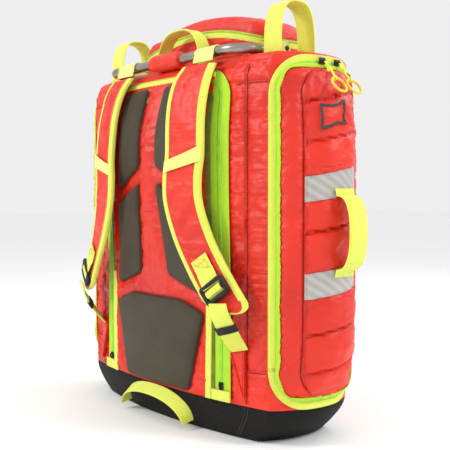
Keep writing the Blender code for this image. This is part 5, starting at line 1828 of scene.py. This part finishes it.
def hump(wall, lid):
    ring = hump_ring(0.0, 0.0)
    count = len(ring)
    low = hump_ring(0.004, 0)
    piece = Piece().cloth(wall, "red")
    # Under the rim, a dark red skirt and floor of painted shade.
    piece.rings([ring, hump_ring(0.003, -0.001), [(x, y, HUMP_FLOOR) for x, y, _ in low],
                 [(x * 0.02, HUMP_Y, HUMP_FLOOR) for x, y, _ in low]], "red_dark")

    def zip_line(u, v, lift):
        u = u % count
        i = int(u)
        before, a, b, after = (Vector(ring[(i + step) % count]) for step in (-1, 0, 1, 2))
        along = (after - before).normalized()
        return a.lerp(b, u - i) + Vector((along.y, -along.x, 0)).normalized() * lift + Z * v

    halves = [k * 0.5 for k in range(2 * count)]
    quarters = [k * 0.25 for k in range(4 * count)]
    piece.on(zip_line, [(u, -0.0062) for u in halves], flat(0.0105, 0.0014), "webbing", 0.0012, closed=True)
    path = [zip_line(u, -0.0006, 0.0016) for u in quarters]
    outs = [(zip_line(u, 0, 0.003) - zip_line(u, 0, 0)).normalized() for u in quarters]
    section = [(0.0019 * math.cos(t), 0.0017 * math.sin(t)) for t in round_turns(8)]
    widths = [(0.00155 + 0.00035 * (k % 2)) / 0.0018 for k in range(len(path))]
    piece.sweep(path, [Z] * len(path), outs, section, "coil", closed=True, widths=widths)
    piece.sewn(zip_line, [(u, -0.0098) for u in halves], "pale_thread", 0.0022)
    piece.make("top_pocket_wall", "root", "red_fabric", ["top_pocket"])

    middle = [toward((0, HUMP_Y, 0.666), lid.points[-1], share) for share in (0.66, 0.33, 0.02)]
    cover = Piece().rings([*lid.points, *middle], "red_soft", (False, True))
    profile = ((0.0, 0.0006), (0.003, 0.001), (0.007, 0.013), (0.02, 0.019), (0.05, 0.020))
    under = [hump_ring(*pair) for pair in profile]
    # The lid's underside is dark red painted shade.
    cover.rings(under + [toward((0, HUMP_Y, 0.660), under[-1], 0.02)], "red_dark")
    cover.sewn(Sampled(lid), [(0.105, share) for share in spread(0, 0.995, 200)], "red_thread", 0.0005)
    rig.padded(cover.make("top_lid_cover", "top_lid", "red_fabric", ["top_lid"]), fill=0.6)


def front_outline():
    half, low, high = FRONT_HALF, FRONT_LOW, FRONT_HIGH
    return rounded([(half, low), (half, high), (-half, high), (-half, low)], 0.040, 0.0075)


def front_cloth():
    outline = front_outline()
    rings = [[tuple(front_point(*FRONT_MIDDLE.lerp(p, s), h)) for p in outline] for s, h in FRONT_RINGS]
    hold = ring_holds((len(rings), len(outline)), (0, 1), (1, 1), (2, 0.8), (7, 0.9))
    return Cloth(rings, hold, (0, 0, 0.31), wrap=True, cap=0.0042, pressure=1.5, grow=0.04)


def front(cloth):
    outline = front_outline()
    piece = Piece().cloth(cloth, "red_soft", cap=True)
    # Under the door's edge lies a dark red sheet of painted shade.
    inner = [[front_point(*FRONT_MIDDLE.lerp(p, s), 0.0012) for p in outline] for s in (1.0, 0.6, 0.3, 0.01)]
    piece.rings(inner, "red_dark")
    surface = Sampled(cloth)
    for row in (2.6, 7.4):
        line = [(row / (len(FRONT_RINGS) - 1), share) for share in spread(0, 0.998, 260)]
        piece.sewn(surface, line, "red_thread", 0.0006)
    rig.padded(piece.make("front_door_fabric", "front_door", "red_fabric", ["front_door"]), fill=0.6)

    def grown(share):
        rise = 1 + (share - 1) * 0.75
        line = [(p.x * share, FRONT_MIDDLE.y + (p.y - FRONT_MIDDLE.y) * rise) for p in outline]
        return evenly(line, 0.006, closed=True)

    ring = Piece().on(front_point, grown(1.042), flat(0.0100, 0.0016), "webbing", 0.0022, closed=True)
    ring.coil(front_point, grown(1.014), 0.0024, closed=True, half=0.0030)
    for share in (1.026, 1.058):
        ring.stitches(front_point, grown(share), "pale_thread", lift=0.0031, closed=True, pitch=0.0040)
    ring.make("front_zip_tape", "root", "zip_tape", ["front_zip"])


# ---- the whole pack

def stiffeners():
    """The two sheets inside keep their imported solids."""
    for name in ("base_board", "frame_sheet"):
        materials = bpy.data.objects[name].data.materials
        materials.clear()
        materials.append(PAINTS["sheet"])


def main():
    columns = body_columns()
    shell_grid, panel_grid = shell_cloth(columns), panel_cloth()
    doors = {word: door_cloth(side) for word, side in SIDES.items()}
    straps = {word: strap_cloth(side) for word, side in SIDES.items()}
    wall, lid, outer = wall_cloth(), lid_cloth(), front_cloth()
    settle([shell_grid, panel_grid, *doors.values(), *straps.values(), wall, lid, outer])
    press_seams(shell_grid, columns)
    crinkle(shell_grid, 0.0024, 11.0, (6, 6, 34))
    crinkle(shell_grid, 0.0006, 0.0, (16, 16, 80))
    crinkle(panel_grid, 0.0006, 0.0, (60, 26, 60))
    for seed, cloth in enumerate(doors.values()):
        crinkle(cloth, 0.0022, seed * 3.0 + 1, (7, 10, 26))
        crinkle(cloth, 0.0007, seed * 7.0, (16, 22, 70))
        press_quilts(cloth)
    for seed, cloth in enumerate(straps.values()):
        crinkle(cloth, 0.0006, seed * 5.0 + 2, (30, 30, 110))
    for cloth in (wall, lid, outer):
        crinkle(cloth, 0.0008, 8.0, (14, 14, 30))
        crinkle(cloth, 0.0006, 3.0, (36, 36, 70))
    shell(shell_grid, columns)
    boot(columns)
    panel(panel_grid)
    for name, corners in PADS.items():
        pad(name, corners)
    harness_zip()
    wedges()
    for word, side in SIDES.items():
        side_zip(word, side)
        door(word, side, doors[word])
        strap(word, side, straps[word])
        yoke(word, side)
        ladder_lock(word, side)
        tail(word, side)
    pulls()
    tube_and_grip()
    anchors()
    loops()
    hump(wall, lid)
    front(outer)
    stiffeners()
    studio()
    camera()


main()

with open("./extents.json", "w") as file:
    json.dump({"cad": [list(p) for p in cad_box], "visual": [list(p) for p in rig.bounds()]}, file)
